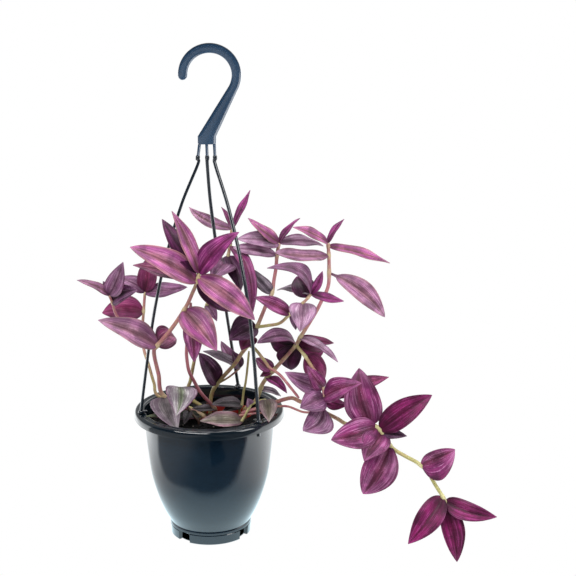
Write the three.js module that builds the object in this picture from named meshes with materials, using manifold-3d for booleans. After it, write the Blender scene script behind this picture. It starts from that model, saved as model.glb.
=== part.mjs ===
// A potted tradescantia: leafy stems in a small nursery pot, inside a glossy hanging pot with a moulded hook
// and three bowed arms. Millimetres, +Z up. It is set out from the centre of the hanging pot's foot, and the
// finished group is lowered so that the inside top of the hook, where it hangs, is the origin.
import * as THREE from "three";
import { mergeVertices } from "three/addons/utils/BufferGeometryUtils.js";
import Module from "manifold-3d";

const wasm = await Module();
wasm.setup();

// Driving dimensions
const RIM_RADIUS = 70;
const POT_HEIGHT = 123;
const POT_WALL = 2;
const POT_FLOOR = 12;
const POT_SIDES = 36;
const MOUTH_RADIUS = 60.5;
const NOTCH_WIDTH = 13;
const NOTCH_HEIGHT = 9;
const NOTCH_AZIMUTHS = [231, 329, 51, 149];

const NURSERY_CENTRE = [10.5, 8];
const NURSERY_TOP = 114.6;
const NURSERY_RADIUS = 30;
const NURSERY_FOOT_RADIUS = 21;
const NURSERY_WALL = 1.4;
const NURSERY_ROLL = 8.5;
const NURSERY_SIDES = 28;
const SOIL_TOP = 107;
const SOIL_CROWN = 1.5;
const SOIL_RADIUS = 26.6;
const BED_EDGE = 105.5;
const BED_RADIUS = 57.1;
const BED_TOP = 112.4;

const CLEARANCE = 0.3;
const HOLE_CLEARANCE = 0.35;
const BED_HOLE_CLEARANCE = 0.85;
const ROOT_DEPTH = 8;

const HOOK_CENTRE = [4.7, 431.2];
const HOOK_RADIUS = 28;
const HOOK_INSIDE_RADIUS = 19.3;
const HOOK_TIP_AZIMUTH = 180;
const HOOK_SHANK_AZIMUTH = -30;
const HOOK_THICKNESS = 6.4;
const HOOK_EDGE = 1.6;
const HEAD_LEFT = -6.9;
const HEAD_RIGHT = 9.9;
const HEAD_TOP = 377;
const HEAD_BOTTOM = 370.2;
const STUB_RADIUS = 1.5;
const STUB_END = 357.4;

// An arm's azimuth is where its foot stands on the rim. neck and end are the x of its stub at the hook's
// head and at the stub's end, bow is how far the arm bows out, and lead below 1 moves the bow up.
const ARMS = [
  { name: "arm_left", azimuth: 196, neck: -5.1, end: -7, bow: 10, lead: 0.8 },
  { name: "arm_right", azimuth: -43, neck: 8, end: 8.5, bow: 14, lead: 0.85 },
  { name: "arm_back", azimuth: 67.5, neck: 1.2, end: 1.5, bow: -5, lead: 0.6 },
];
const ARM_RADIUS = 1.6;
const ARM_TOP = 352;
const ARM_FOOT_CIRCLE = 64.3;
const ARM_FOOT = 127;
const ARM_BENDS = 7;
const COLLAR_RADIUS = 2.4;
const COLLAR_TOP = 360;
const COLLAR_BOTTOM = 355.5;
const SHOULDER_RADIUS = 3.2;
const SHOULDER_HEIGHT = 2.2;
const PEG_RADIUS = 1.7;
const PEG_END = 110;

const BLADE_THICKNESS = 0.8;
const BLADE_STATIONS = [0, 0.12, 0.36, 0.7, 1];
const BLADE_STALK = 1.3;
const BLADE_TIP = 0.4;
const BLADE_FOLD = 16;
const BLADE_TAPER = 1.45;
const STEM_SIDES = 5;
const STEM_STEP = 11;

// The photograph's view, from which the plant is measured: the eye's place before the pot, its dip in
// degrees, and the focal length and centre of the picture in pixels.
const EYE = new THREE.Vector3(73.85, -1165, 525);
const EYE_DIP = 13.85;
const FOCAL = 1308;
const CENTRE = 288;

const COLOURS = {
  gloss: 0x1c262e,
  hanger: 0x26313b,
  nursery: 0xb8402a,
  soil: 0x2e2219,
  rosy: 0x9a4a72,
  wine: 0x6b1645,
  plum: 0x5a3556,
};

// The leafy stems. A place on one is its column and row in the view and its depth in millimetres behind the
// pot's axis. A root is [x, y] in the soil. A leaf grows at a station of its stem's route. wide is its width
// in millimetres, and turn how far its face is rolled away from the viewer in degrees. The others are shares
// of its length: arch is how high the rib bows, sway how far it bends sideways, belly where the blade is
// widest and stalk where it begins. skew is how much wider one half is than the mean.
const STEMS = [
  {
    name: "stem_front_left",
    colour: "rosy",
    root: [-7, -4],
    girth: 4,
    route: [
      [164.5, 397, -9], [158.5, 374, -16], [154, 353, -22], [157, 346, -24], [169, 332, -29],
      [179, 318, -34], [187, 305, -39], [192, 294, -43], [197, 282, -46], [199, 273, -48],
    ],
    leaves: [
      { at: 0, tip: [178, 431, -45], wide: 30, turn: 15, belly: 0.3, sway: 0.08 },
      { at: -1, tip: [146, 416, -28], wide: 15, turn: 50, sway: -0.12 },
      { at: 3, tip: [98, 320, -34], wide: 26, turn: 30 },
      { at: 3, tip: [176, 338, 6], wide: 24, turn: 15, sway: -0.12 },
      { at: 5.6, tip: [217, 351, -60], wide: 29, turn: 15, belly: 0.36 },
      { at: 8, tip: [133, 265, -28], wide: 23, turn: 50, sway: -0.06 },
      { at: 8, tip: [130, 247, -62], wide: 26, turn: 28, belly: 0.42 },
      { at: 8, tip: [235, 311, -32], wide: 24, turn: 20, sway: 0.03 },
      { at: 8.5, tip: [255, 320, -60], wide: 25, turn: 20, belly: 0.4 },
      { at: 9, tip: [162, 219, -30], wide: 19, turn: 20, sway: -0.05 },
      { at: 9, tip: [172, 211, -46], wide: 17, turn: 35, sway: -0.04 },
      { at: 9, tip: [239, 232, -58], wide: 22, turn: 25, sway: -0.03 },
    ],
  },
  {
    name: "stem_far_left",
    colour: "wine",
    root: [-9, 6],
    girth: 3.2,
    route: [
      [160, 397, 7], [154, 383, 11], [149, 366, 18], [144, 350, 28], [142.5, 336, 34],
      [143, 320, 41], [144, 306, 46], [145, 292, 50],
    ],
    leaves: [
      { at: 5.6, tip: [102, 313, 50], wide: 26, turn: 20, sway: 0.05 },
      { at: 7, tip: [149, 256, 62], wide: 20, turn: 10, sway: 0.04 },
      { at: 7, tip: [187, 287, 36], wide: 17, turn: 35, arch: -0.08, sway: -0.03 },
      { at: 7, tip: [117, 279, 54], wide: 18, turn: 35, arch: 0.16 },
    ],
    shoots: [
      {
        at: 4,
        girth: 2.7,
        route: [[128, 326, 28], [117, 316, 20], [112, 302, 14], [109, 295, 11]],
        leaves: [
          { at: 2, tip: [138, 290, 2], wide: 18, turn: 20, sway: -0.08 },
          { at: 3, tip: [77, 280, -4], wide: 10, turn: 40 },
          { at: 3, tip: [123, 262, 0], wide: 19, turn: 15, sway: 0.06 },
          { at: 3, tip: [103, 281, 18], wide: 7, turn: 20 },
        ],
      },
    ],
  },
  {
    name: "stem_inner_left",
    colour: "plum",
    root: [4, 16],
    girth: 3.6,
    route: [
      [201, 393, 6], [194, 381, 0], [189, 371, -6], [187, 360, -10], [186.5, 350, -14],
      [188, 330, -22], [191, 303, -30],
    ],
    leaves: [
      { at: -1, tip: [190, 410, 0], wide: 11, turn: 50, arch: 0.03, sway: -0.03 },
      { at: 5.4, tip: [194, 362, -36], wide: 19, turn: 20 },
    ],
  },
  {
    name: "stem_back",
    colour: "plum",
    root: [-6, 16],
    girth: 3.6,
    route: [
      [187.5, 395, 15], [190.5, 380, 18], [194, 362, 19], [200, 333, 19], [207, 305, 18],
      [217, 283, 18], [226, 263, 20], [230, 246, 23], [232, 229, 25],
    ],
    leaves: [
      { at: 4, tip: [217, 321, 2], wide: 10, turn: 20 },
      { at: 6.1, tip: [211, 279, -24], wide: 26, turn: 10 },
      { at: 6.4, tip: [241, 291, -10], wide: 20, turn: 20 },
      { at: 7, tip: [251, 320, -24], wide: 15, turn: 30, arch: 0.24 },
      { at: 8, tip: [189, 207, 60], wide: 12, turn: 20, arch: 0.03, sway: -0.08 },
      { at: 8, tip: [250, 190, 42], wide: 10, turn: 50, sway: 0.12 },
      { at: 8, tip: [221.5, 207, 12], wide: 6.5, turn: 30 },
    ],
  },
  {
    name: "stem_centre",
    colour: "rosy",
    root: [-1, 27],
    girth: 4,
    route: [
      [212, 393, 26], [217, 384, 22], [226, 373.5, 14], [235.5, 363, 6], [241.5, 353.5, 0],
      [248, 345, -5], [252, 336, -9], [257, 327, -12], [262, 315, -8], [267, 303, -2], [272, 293, 4],
      [274, 280, 9], [276, 268, 13], [277, 255, 17], [279, 243, 20],
    ],
    leaves: [
      { at: 1, tip: [199, 353, 0], wide: 20, turn: 20, belly: 0.45 },
      { at: 6, tip: [241, 350, -24], wide: 18, turn: 20 },
      { at: 7, tip: [229, 340, -24], wide: 26, turn: 20, skew: 0.2 },
      { at: 10, tip: [250, 268, 2], wide: 13, turn: 30, sway: -0.08 },
      { at: 10, tip: [253, 283, -2], wide: 8, turn: 20, arch: 0.04 },
      { at: 13, tip: [233, 248, 6], wide: 15, turn: 40, belly: 0.5, sway: -0.06 },
      { at: 14, tip: [237, 239, 4], wide: 20, turn: 35, arch: 0.08, sway: -0.02 },
      { at: 14, tip: [248, 218, 12], wide: 13, turn: 40, arch: 0.08, sway: -0.09 },
      { at: 14, tip: [300, 218, 34], wide: 9, turn: 55, sway: 0.03 },
      { at: 14, tip: [323.5, 246, 56], wide: 14, turn: 45, arch: 0.08 },
    ],
    shoots: [
      {
        at: 7,
        girth: 3,
        route: [
          [268, 325.5, -16], [280, 323, -20], [290, 314, -24], [297, 308, -26], [303, 303, -27],
          [307, 299, -27], [311, 294, -26],
        ],
        leaves: [
          { at: 2, tip: [254, 297, -26], wide: 15, turn: 25, arch: 0.14, sway: -0.02 },
          { at: 2, tip: [296, 330, -16], wide: 6, turn: 20 },
          { at: 4, tip: [300, 332, -44], wide: 26, turn: 5, belly: 0.3, sway: -0.04 },
          { at: 5.3, tip: [296.5, 276.5, -8], wide: 22, turn: 10 },
          { at: 6, tip: [267, 268, -32], wide: 18, turn: 45, arch: 0.36 },
          { at: 6, tip: [322.5, 271, -20], wide: 9, turn: 20, sway: 0.1 },
          { at: 6, tip: [344, 301, -20], wide: 11, turn: 40, arch: 0.02, sway: 0.05 },
          { at: 6, tip: [277, 290, 2], wide: 11, turn: 50 },
        ],
      },
      {
        at: 5,
        girth: 3,
        route: [[255, 349, -10], [264, 360, -16], [270, 368, -22], [281, 376, -30], [299, 398, -42]],
        leaves: [],
      },
      {
        at: 1,
        girth: 2,
        route: [[229, 377, 18], [240, 368, 16]],
        leaves: [
          { at: 1, tip: [203, 351, 12], wide: 14, turn: 50, sway: -0.03 },
          { at: 1, tip: [221, 341, 30], wide: 13, turn: 25, sway: -0.1 },
          { at: 1, tip: [232, 351, 8], wide: 12, turn: 20 },
        ],
      },
    ],
  },
  {
    name: "stem_thin",
    colour: "plum",
    root: [28, 14],
    girth: 2.5,
    route: [
      [242, 405, 11], [243.5, 393, 10], [245.5, 383, 10], [247, 372, 12], [248, 362, 13], [249, 351, 14],
    ],
    leaves: [
      { at: 0, tip: [211.5, 404.5, 2], wide: 17, turn: 50, sway: -0.04 },
      { at: -0.5, tip: [221, 413.5, -2], wide: 11, turn: 50 },
    ],
  },
  {
    name: "stem_short",
    colour: "plum",
    root: [30, -20],
    girth: 3,
    route: [[242, 421, -21], [246.5, 413, -22], [250, 406, -21], [252, 400, -21]],
    leaves: [
      { at: 0, tip: [200, 421, -32], wide: 21, turn: 45, arch: 0.08, sway: -0.07 },
      { at: 2, tip: [247.5, 398.5, -26], wide: 9, turn: 20 },
    ],
    shoots: [
      {
        at: 2,
        girth: 2,
        route: [[258, 401, -23], [266, 399.5, -26]],
        leaves: [{ at: 1, tip: [269, 422, -46], wide: 18, turn: 5, belly: 0.34, sway: -0.03 }],
      },
    ],
  },
  {
    name: "stem_right",
    colour: "rosy",
    root: [33, 14],
    girth: 4,
    route: [
      [256, 400, 13], [262, 385, 8], [267, 377.5, 5], [273, 371, 2], [281.5, 361.5, -2], [290, 352, -4],
      [296, 345, -5], [300, 338, -4], [308, 325, 3], [317, 310, 11], [322, 300, 17], [327, 290, 23],
      [329, 280, 29], [329, 262, 37], [328.5, 250, 41], [328, 243, 43],
    ],
    leaves: [
      { at: 0.7, tip: [281, 396, 18], wide: 9, turn: 50 },
      { at: 2, tip: [287, 393, -18], wide: 12, turn: 40 },
      { at: 3, tip: [256, 358, 12], wide: 14, turn: 20, sway: -0.05 },
      { at: 3, tip: [260, 376.5, 8], wide: 7, turn: 30 },
      { at: 6, tip: [257, 343, -26], wide: 18, turn: 45, arch: 0.26, belly: 0.5 },
      { at: 6, tip: [269, 338, 14], wide: 22, turn: -20 },
      { at: 6, tip: [291, 370, 10], wide: 24, turn: 10, sway: 0.12 },
      { at: 6, tip: [324, 351, 14], wide: 18, turn: 15, sway: 0.1 },
      { at: 7, tip: [338, 362, -28], wide: 12, turn: 45, arch: 0.1 },
      { at: 7, tip: [334, 343, 8], wide: 10, turn: 30, sway: 0.06 },
      { at: 12.4, tip: [385, 317, 16], wide: 21, turn: 20, arch: 0.1, belly: 0.45, sway: -0.05, stalk: 0.1 },
      { at: 13.5, tip: [275, 253, -10], wide: 17, turn: 45, arch: 0.02, belly: 0.55, sway: -0.06 },
      { at: 14.5, tip: [390, 263, 58], wide: 14, turn: 50, arch: 0.03 },
      { at: 15, tip: [293, 227, 14], wide: 13, turn: 45, arch: 0.05 },
      { at: 15, tip: [344, 219, 58], wide: 9, turn: 50, sway: 0.03 },
    ],
    shoots: [
      {
        at: 6,
        girth: 3.2,
        route: [[305, 356, -14], [312, 367, -24], [320, 378, -36], [323, 388, -44], [324, 397, -49]],
        leaves: [
          { at: 0, tip: [325, 379, -6], wide: 24, turn: 20, sway: 0.06 },
          { at: 3, tip: [285, 372, -48], wide: 19, turn: 20, sway: -0.1 },
          { at: 3, tip: [307, 366, -56], wide: 15, turn: 15, sway: -0.05 },
          { at: 4, tip: [300, 408, -62], wide: 25, turn: 10 },
          { at: 4, tip: [361.5, 383, -70], wide: 23, turn: 30 },
          { at: 4, tip: [348, 405, -52], wide: 14, turn: -30, sway: 0.05 },
          { at: 4, tip: [389, 377, -30], wide: 16, turn: 10 },
        ],
      },
    ],
  },
  {
    name: "stem_trailing",
    colour: "wine",
    root: [32, 3],
    girth: 3.9,
    route: [
      [264, 407, 2], [276, 402, -4], [291, 398, -15], [299, 401, -26], [310, 406, -32], [322, 411, -34],
      [337, 418.5, -38], [347, 424, -42], [362, 424, -50], [377, 427, -58], [385, 438, -62],
      [393, 448.5, -66], [405, 456, -70], [417, 462.5, -74], [427, 471, -78], [436, 486, -84],
      [443, 497, -88], [446, 504, -90],
    ],
    leaves: [
      { at: 8.6, tip: [359, 368, -46], wide: 35, turn: 10, belly: 0.4, sway: -0.1 },
      { at: 9, tip: [331, 440, -74], wide: 29, turn: 10, belly: 0.42, sway: -0.06 },
      { at: 9.3, tip: [432, 395, -72], wide: 25, turn: 10, belly: 0.42 },
      { at: 9.6, tip: [407, 436, -72], wide: 10, turn: 10 },
      { at: 9.6, tip: [364, 461, -84], wide: 27, turn: 10 },
      { at: 10.6, tip: [363, 494, -76], wide: 33, turn: 5, belly: 0.45, sway: -0.08 },
      { at: 13.4, tip: [455, 450, -92], wide: 27, turn: 10, belly: 0.5, skew: 0.55 },
      { at: 16, tip: [408, 544, -100], wide: 24, turn: 10, belly: 0.36, sway: -0.05 },
      { at: 16.6, tip: [497, 517, -106], wide: 18.5, turn: 10, sway: 0.08 },
      { at: 17, tip: [457, 562, -98], wide: 21, turn: 5, sway: -0.03 },
      { at: 17, tip: [459, 513, -98], wide: 6, turn: 10 },
    ],
  },
  {
    name: "stem_low_right",
    colour: "plum",
    root: [28, -6],
    girth: 2.4,
    route: [
      [266, 412, -8], [276, 407, -13], [288, 406.5, -22], [303, 412, -32], [314, 411.5, -41],
      [323, 407, -45],
    ],
    leaves: [{ at: 5, tip: [303, 431, -62], wide: 27, turn: 0, belly: 0.45, sway: -0.22 }],
  },
  {
    name: "stem_low_left",
    colour: "plum",
    root: [-9, -20],
    girth: 2.6,
    route: [[190, 411, -19], [184, 398, -18], [180, 387, -18]],
    leaves: [
      { at: 0, tip: [184, 424, -34], wide: 9, turn: 20 },
      { at: 2, tip: [176, 416, -50], wide: 30, turn: 5, belly: 0.3, sway: -0.08 },
    ],
  },
];

// The place in the pot's frame that the viewer sees at a column and a row, at a depth behind the pot's axis.
function seen([column, row, depth]) {
  const dip = THREE.MathUtils.degToRad(EYE_DIP);
  const right = (column - CENTRE) / FOCAL;
  const up = (CENTRE - row) / FOCAL;
  const ray = new THREE.Vector3(
    right,
    Math.cos(dip) + up * Math.sin(dip),
    up * Math.cos(dip) - Math.sin(dip),
  );
  return ray.multiplyScalar((depth - EYE.y) / ray.y).add(EYE);
}

// Booleans

function toSolid(geometry) {
  const bare = geometry.clone();
  bare.deleteAttribute("normal");
  bare.deleteAttribute("uv");
  const merged = mergeVertices(bare, 1e-4);
  return new wasm.Manifold(new wasm.Mesh({
    numProp: 3,
    vertProperties: new Float32Array(merged.attributes.position.array),
    triVerts: new Uint32Array(merged.index.array),
  }));
}

function toGeometry(solid) {
  const mesh = solid.getMesh();
  const geometry = new THREE.BufferGeometry();
  geometry.setAttribute("position", new THREE.BufferAttribute(mesh.vertProperties, 3));
  geometry.setIndex(new THREE.BufferAttribute(mesh.triVerts, 1));
  geometry.computeVertexNormals();
  return geometry;
}

function join(geometries) {
  return geometries.map(toSolid).reduce((whole, piece) => whole.add(piece));
}

// Basic shapes

function named(name, geometry, color, roughness) {
  const mesh = new THREE.Mesh(
    geometry,
    new THREE.MeshStandardMaterial({ color, roughness, metalness: 0 }),
  );
  mesh.name = name;
  return mesh;
}

function turned(profile, sides) {
  const points = profile.map(([radius, height]) => new THREE.Vector2(radius, height));
  return new THREE.LatheGeometry(points, sides).rotateX(Math.PI / 2);
}

function rod(radius, x, y, bottom, top, sides = 12) {
  return new THREE.CylinderGeometry(radius, radius, top - bottom, sides)
    .rotateX(Math.PI / 2)
    .translate(x, y, (top + bottom) / 2);
}

function around(azimuth, radius) {
  const angle = THREE.MathUtils.degToRad(azimuth);
  return [radius * Math.cos(angle), radius * Math.sin(angle)];
}

function smooth(points) {
  return new THREE.CatmullRomCurve3(points, false, "catmullrom", 0.5);
}

function tube(curve, radius, sides, steps) {
  const section = new THREE.Shape();
  for (let i = 0; i < sides; i += 1) {
    const [x, y] = around((360 * i) / sides, radius);
    if (i === 0) section.moveTo(x, y);
    else section.lineTo(x, y);
  }
  section.closePath();
  return new THREE.ExtrudeGeometry(section, { steps, bevelEnabled: false, extrudePath: curve });
}

// The hanging pot

function makePot() {
  const lip = RIM_RADIUS - 2;
  const outside = [
    [0, 9], [33.5, 9], [34.4, 0], [37.6, 0], [38.4, 11.5], [38.6, 13], [44.6, 26], [50.4, 42],
    [55.1, 60], [57.8, 81], [59.3, 97], [60.2, 112], [60.6, 120], [lip, 120.2], [lip + 0.2, 115],
    [RIM_RADIUS - 0.3, 115], [RIM_RADIUS, 116], [RIM_RADIUS, 121], [RIM_RADIUS - 1.2, 122.6],
    [RIM_RADIUS - 5, POT_HEIGHT], [MOUTH_RADIUS + 0.8, POT_HEIGHT - 0.3], [MOUTH_RADIUS - 0.4, 121.8],
  ];
  const inside = [
    [60.2 - POT_WALL, 112], [59.3 - POT_WALL, 97], [57.8 - POT_WALL, 81], [55.1 - POT_WALL, 60],
    [50.4 - POT_WALL, 42], [44.6 - POT_WALL, 26], [37.6, 14], [36, POT_FLOOR], [0, POT_FLOOR],
  ];
  let pot = toSolid(turned([...outside, ...inside], POT_SIDES));
  for (const azimuth of NOTCH_AZIMUTHS) {
    const notch = new THREE.BoxGeometry(12, NOTCH_WIDTH, NOTCH_HEIGHT + 2)
      .translate(36, 0, NOTCH_HEIGHT / 2 - 1)
      .rotateZ(THREE.MathUtils.degToRad(azimuth));
    pot = pot.subtract(toSolid(notch));
  }
  for (const { azimuth } of ARMS) {
    const [x, y] = around(azimuth, ARM_FOOT_CIRCLE);
    pot = pot.subtract(toSolid(rod(PEG_RADIUS + CLEARANCE, x, y, 118, 126, 10)));
  }
  return named("pot", toGeometry(pot), COLOURS.gloss, 0.25);
}

// The hanger: a flat moulded hook, and three bowed arms that plug into it and into the pot's rim

// The middle of an arm's leaning stub at a height.
function stubPoint({ neck, end }, z) {
  const share = (z - STUB_END) / (HEAD_BOTTOM - STUB_END);
  return new THREE.Vector3(THREE.MathUtils.lerp(end, neck, share), 0, z);
}

function stubPiece(arm, radius, bottom, top, sides) {
  const low = stubPoint(arm, bottom);
  const high = stubPoint(arm, top);
  const axis = high.clone().sub(low);
  const upright = new THREE.Vector3(0, 1, 0);
  const lean = new THREE.Quaternion().setFromUnitVectors(upright, axis.clone().normalize());
  const middle = low.clone().lerp(high, 0.5);
  return new THREE.CylinderGeometry(radius, radius, axis.length(), sides)
    .applyQuaternion(lean)
    .translate(middle.x, middle.y, middle.z);
}

function makeHook() {
  const [x, z] = HOOK_CENTRE;
  const tip = THREE.MathUtils.degToRad(HOOK_TIP_AZIMUTH);
  const shank = THREE.MathUtils.degToRad(HOOK_SHANK_AZIMUTH);
  const bar = HOOK_RADIUS - HOOK_INSIDE_RADIUS;
  const middle = HOOK_INSIDE_RADIUS + bar / 2;
  const end = [x + middle * Math.cos(tip), z + middle * Math.sin(tip)];
  const outline = new THREE.Shape();
  outline.moveTo(HEAD_RIGHT, HEAD_BOTTOM);
  outline.lineTo(HEAD_RIGHT, HEAD_TOP);
  outline.absarc(x, z, HOOK_RADIUS, shank, tip, false);
  outline.absarc(end[0], end[1], bar / 2, tip, tip + Math.PI, false);
  outline.absarc(x, z, HOOK_INSIDE_RADIUS, tip, shank, true);
  outline.lineTo(HEAD_LEFT, HEAD_TOP);
  outline.lineTo(HEAD_LEFT, HEAD_BOTTOM);
  outline.closePath();
  const plate = new THREE.ExtrudeGeometry(outline, {
    depth: HOOK_THICKNESS - 2 * HOOK_EDGE,
    curveSegments: 12,
    bevelThickness: HOOK_EDGE,
    bevelSize: HOOK_EDGE,
    bevelOffset: -HOOK_EDGE,
    bevelSegments: 1,
  });
  plate.translate(0, 0, HOOK_EDGE - HOOK_THICKNESS / 2).rotateX(Math.PI / 2);
  const stubs = ARMS.map((arm) => stubPiece(arm, STUB_RADIUS, STUB_END, HEAD_BOTTOM + 1, 10));
  return named("hook", toGeometry(join([plate, ...stubs])), COLOURS.hanger, 0.4);
}

function makeArm(arm) {
  const [footX, footY] = around(arm.azimuth, ARM_FOOT_CIRCLE);
  const top = new THREE.Vector2(arm.end, 0);
  const foot = new THREE.Vector2(footX, footY);
  const out = foot.clone().sub(top).normalize();
  const points = [stubPoint(arm, COLLAR_BOTTOM + 1)];
  for (let i = 0; i <= ARM_BENDS; i += 1) {
    const down = i / ARM_BENDS;
    const spot = top.clone().lerp(foot, down)
      .addScaledVector(out, arm.bow * Math.sin(Math.PI * down ** arm.lead));
    points.push(new THREE.Vector3(spot.x, spot.y, THREE.MathUtils.lerp(ARM_TOP, ARM_FOOT, down)));
  }
  points.push(new THREE.Vector3(footX, footY, POT_HEIGHT + 1));
  const collar = stubPiece(arm, COLLAR_RADIUS, COLLAR_BOTTOM, COLLAR_TOP, 12);
  const socket = stubPiece(arm, STUB_RADIUS + CLEARANCE, STUB_END - CLEARANCE, COLLAR_TOP + 1, 10);
  const seat = POT_HEIGHT + CLEARANCE;
  const shoulder = rod(SHOULDER_RADIUS, footX, footY, seat, seat + SHOULDER_HEIGHT, 12);
  const peg = rod(PEG_RADIUS, footX, footY, PEG_END, seat + 1, 10);
  const whole = join([tube(smooth(points), ARM_RADIUS, 6, 18), collar, shoulder, peg]);
  return named(arm.name, toGeometry(whole.subtract(toSolid(socket))), COLOURS.hanger, 0.35);
}

// The nursery pot and its soil

function makeNurseryPot() {
  const foot = POT_FLOOR + CLEARANCE;
  const roll = NURSERY_TOP - NURSERY_ROLL;
  const profile = [
    [0, foot], [NURSERY_FOOT_RADIUS, foot], [NURSERY_RADIUS - 2, roll - 0.5], [NURSERY_RADIUS, roll],
    [NURSERY_RADIUS, NURSERY_TOP], [NURSERY_RADIUS - 1.6, NURSERY_TOP],
    [NURSERY_RADIUS - 1.6 - NURSERY_WALL, roll - 0.5], [NURSERY_FOOT_RADIUS - NURSERY_WALL, foot + 2],
    [0, foot + 2],
  ];
  const shell = turned(profile, NURSERY_SIDES).translate(...NURSERY_CENTRE, 0);
  return named("nursery_pot", shell, COLOURS.nursery, 0.6);
}

function rootHole({ root, girth }, clearance) {
  const bottom = SOIL_TOP - ROOT_DEPTH - CLEARANCE;
  return toSolid(rod(girth / 2 + clearance, ...root, bottom, NURSERY_TOP, 8));
}

function inNursery({ root }) {
  return Math.hypot(root[0] - NURSERY_CENTRE[0], root[1] - NURSERY_CENTRE[1]) < NURSERY_RADIUS;
}

function makeSoil() {
  const floor = POT_FLOOR + CLEARANCE + 2 + CLEARANCE;
  const footRadius = NURSERY_FOOT_RADIUS - NURSERY_WALL - CLEARANCE;
  const profile = [
    [0, floor], [footRadius, floor], [SOIL_RADIUS - 0.4, SOIL_TOP - 2], [SOIL_RADIUS - 0.8, SOIL_TOP],
    [SOIL_RADIUS * 0.5, SOIL_TOP + SOIL_CROWN], [0, SOIL_TOP + SOIL_CROWN],
  ];
  let soil = toSolid(turned(profile, NURSERY_SIDES).translate(...NURSERY_CENTRE, 0));
  for (const stem of STEMS.filter(inNursery)) soil = soil.subtract(rootHole(stem, HOLE_CLEARANCE));
  return named("soil", toGeometry(soil), COLOURS.soil, 0.95);
}

// The soil that fills the hanging pot around the nursery pot.
function makeSoilBed() {
  const floor = POT_FLOOR + CLEARANCE;
  const roll = NURSERY_TOP - NURSERY_ROLL;
  const gap = HOLE_CLEARANCE;
  const filled = toSolid(turned([
    [0, floor], [35.4, floor], [37, 14.5], [47.8, 42], [55.2, 81], [BED_RADIUS, BED_EDGE - 1.5],
    [BED_RADIUS - 0.8, BED_EDGE], [BED_RADIUS - 9, BED_TOP - 0.7], [0, BED_TOP],
  ], POT_SIDES));
  const cavity = toSolid(turned([
    [0, floor - 1], [NURSERY_FOOT_RADIUS + gap, floor - 1], [NURSERY_FOOT_RADIUS + gap, floor],
    [NURSERY_RADIUS - 2 + gap, roll - 1], [NURSERY_RADIUS + gap, roll - 0.5],
    [NURSERY_RADIUS + gap, NURSERY_TOP], [0, NURSERY_TOP],
  ], NURSERY_SIDES).translate(...NURSERY_CENTRE, 0));
  let bed = filled.subtract(cavity);
  for (const stem of STEMS.filter((each) => !inNursery(each))) {
    bed = bed.subtract(rootHole(stem, BED_HOLE_CLEARANCE));
  }
  return named("soil_bed", toGeometry(bed), COLOURS.soil, 0.95);
}

// Leaves

// Half the width of a blade along its rib, from 0 at the base to 1 at the tip.
function halfWidth(along, { wide, belly = 0.37, stalk = 0 }) {
  const grown = Math.max(0, (along - stalk) / (1 - stalk));
  const rise = BLADE_TAPER * belly;
  const fall = BLADE_TAPER * (1 - belly);
  const shape = (grown / belly) ** rise * ((1 - grown) / (1 - belly)) ** fall;
  const least = THREE.MathUtils.lerp(BLADE_STALK, BLADE_TIP, along);
  return Math.max(least, (wide / 2) * shape);
}

// A blade folded along its rib: three points on each face at every station, in one closed skin.
function blade(base, leaf) {
  const { tip, turn, arch = 0.09, sway = 0, skew = 0 } = leaf;
  const along = seen(tip).sub(base);
  const length = along.length();
  along.normalize();
  const toEye = EYE.clone().sub(base);
  const facing = toEye.addScaledVector(along, -toEye.dot(along)).normalize();
  const skyward = new THREE.Vector3().crossVectors(along, facing);
  if (skyward.z < 0) skyward.negate();
  const roll = THREE.MathUtils.degToRad(turn);
  const normal = facing.multiplyScalar(Math.cos(roll)).addScaledVector(skyward, Math.sin(roll));
  const side = new THREE.Vector3().crossVectors(along, normal);
  const fold = THREE.MathUtils.degToRad(BLADE_FOLD);
  const positions = [];
  for (const station of BLADE_STATIONS) {
    const half = halfWidth(station, leaf);
    const hill = length * 4 * station * (1 - station);
    for (const depth of [0, -BLADE_THICKNESS]) {
      for (const across of [-1, 0, 1]) {
        const point = base.clone()
          .addScaledVector(along, length * station)
          .addScaledVector(side, across * half * (1 + across * skew) * Math.cos(fold) + sway * hill)
          .addScaledVector(normal, arch * hill + depth + Math.abs(across) * half * Math.sin(fold));
        positions.push(point.x, point.y, point.z);
      }
    }
  }
  const index = [];
  const quad = (a, b, c, d) => index.push(a, b, c, a, c, d);
  quad(0, 3, 4, 1);
  quad(1, 4, 5, 2);
  for (let i = 0; i < BLADE_STATIONS.length - 1; i += 1) {
    const here = 6 * i;
    const next = here + 6;
    for (const column of [0, 1]) {
      quad(here + column, here + column + 1, next + column + 1, next + column);
      index.push(here + column + 3, next + column + 4, here + column + 4);
      index.push(here + column + 3, next + column + 3, next + column + 4);
    }
    quad(here, next, next + 3, here + 3);
    quad(here + 2, here + 5, next + 5, next + 2);
  }
  const last = 6 * (BLADE_STATIONS.length - 1);
  quad(last, last + 1, last + 4, last + 3);
  quad(last + 1, last + 2, last + 5, last + 4);
  const geometry = new THREE.BufferGeometry();
  geometry.setAttribute("position", new THREE.Float32BufferAttribute(positions, 3));
  geometry.setIndex(index);
  return geometry;
}

// A stem, or a shoot that leaves its parent's curve at start, with its leaves and its own shoots.
function growth({ route, girth, leaves, shoots = [] }, start) {
  const points = [...start, ...route.map(seen)];
  const curve = smooth(points);
  const place = (at) => curve.getPoint((at + start.length) / (points.length - 1));
  const steps = Math.max(4, Math.round(curve.getLength() / STEM_STEP));
  const pieces = [tube(curve, girth / 2, STEM_SIDES, steps)];
  for (const leaf of leaves) pieces.push(blade(place(leaf.at), leaf));
  for (const shoot of shoots) pieces.push(...growth(shoot, [place(shoot.at)]));
  return pieces;
}

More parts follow.
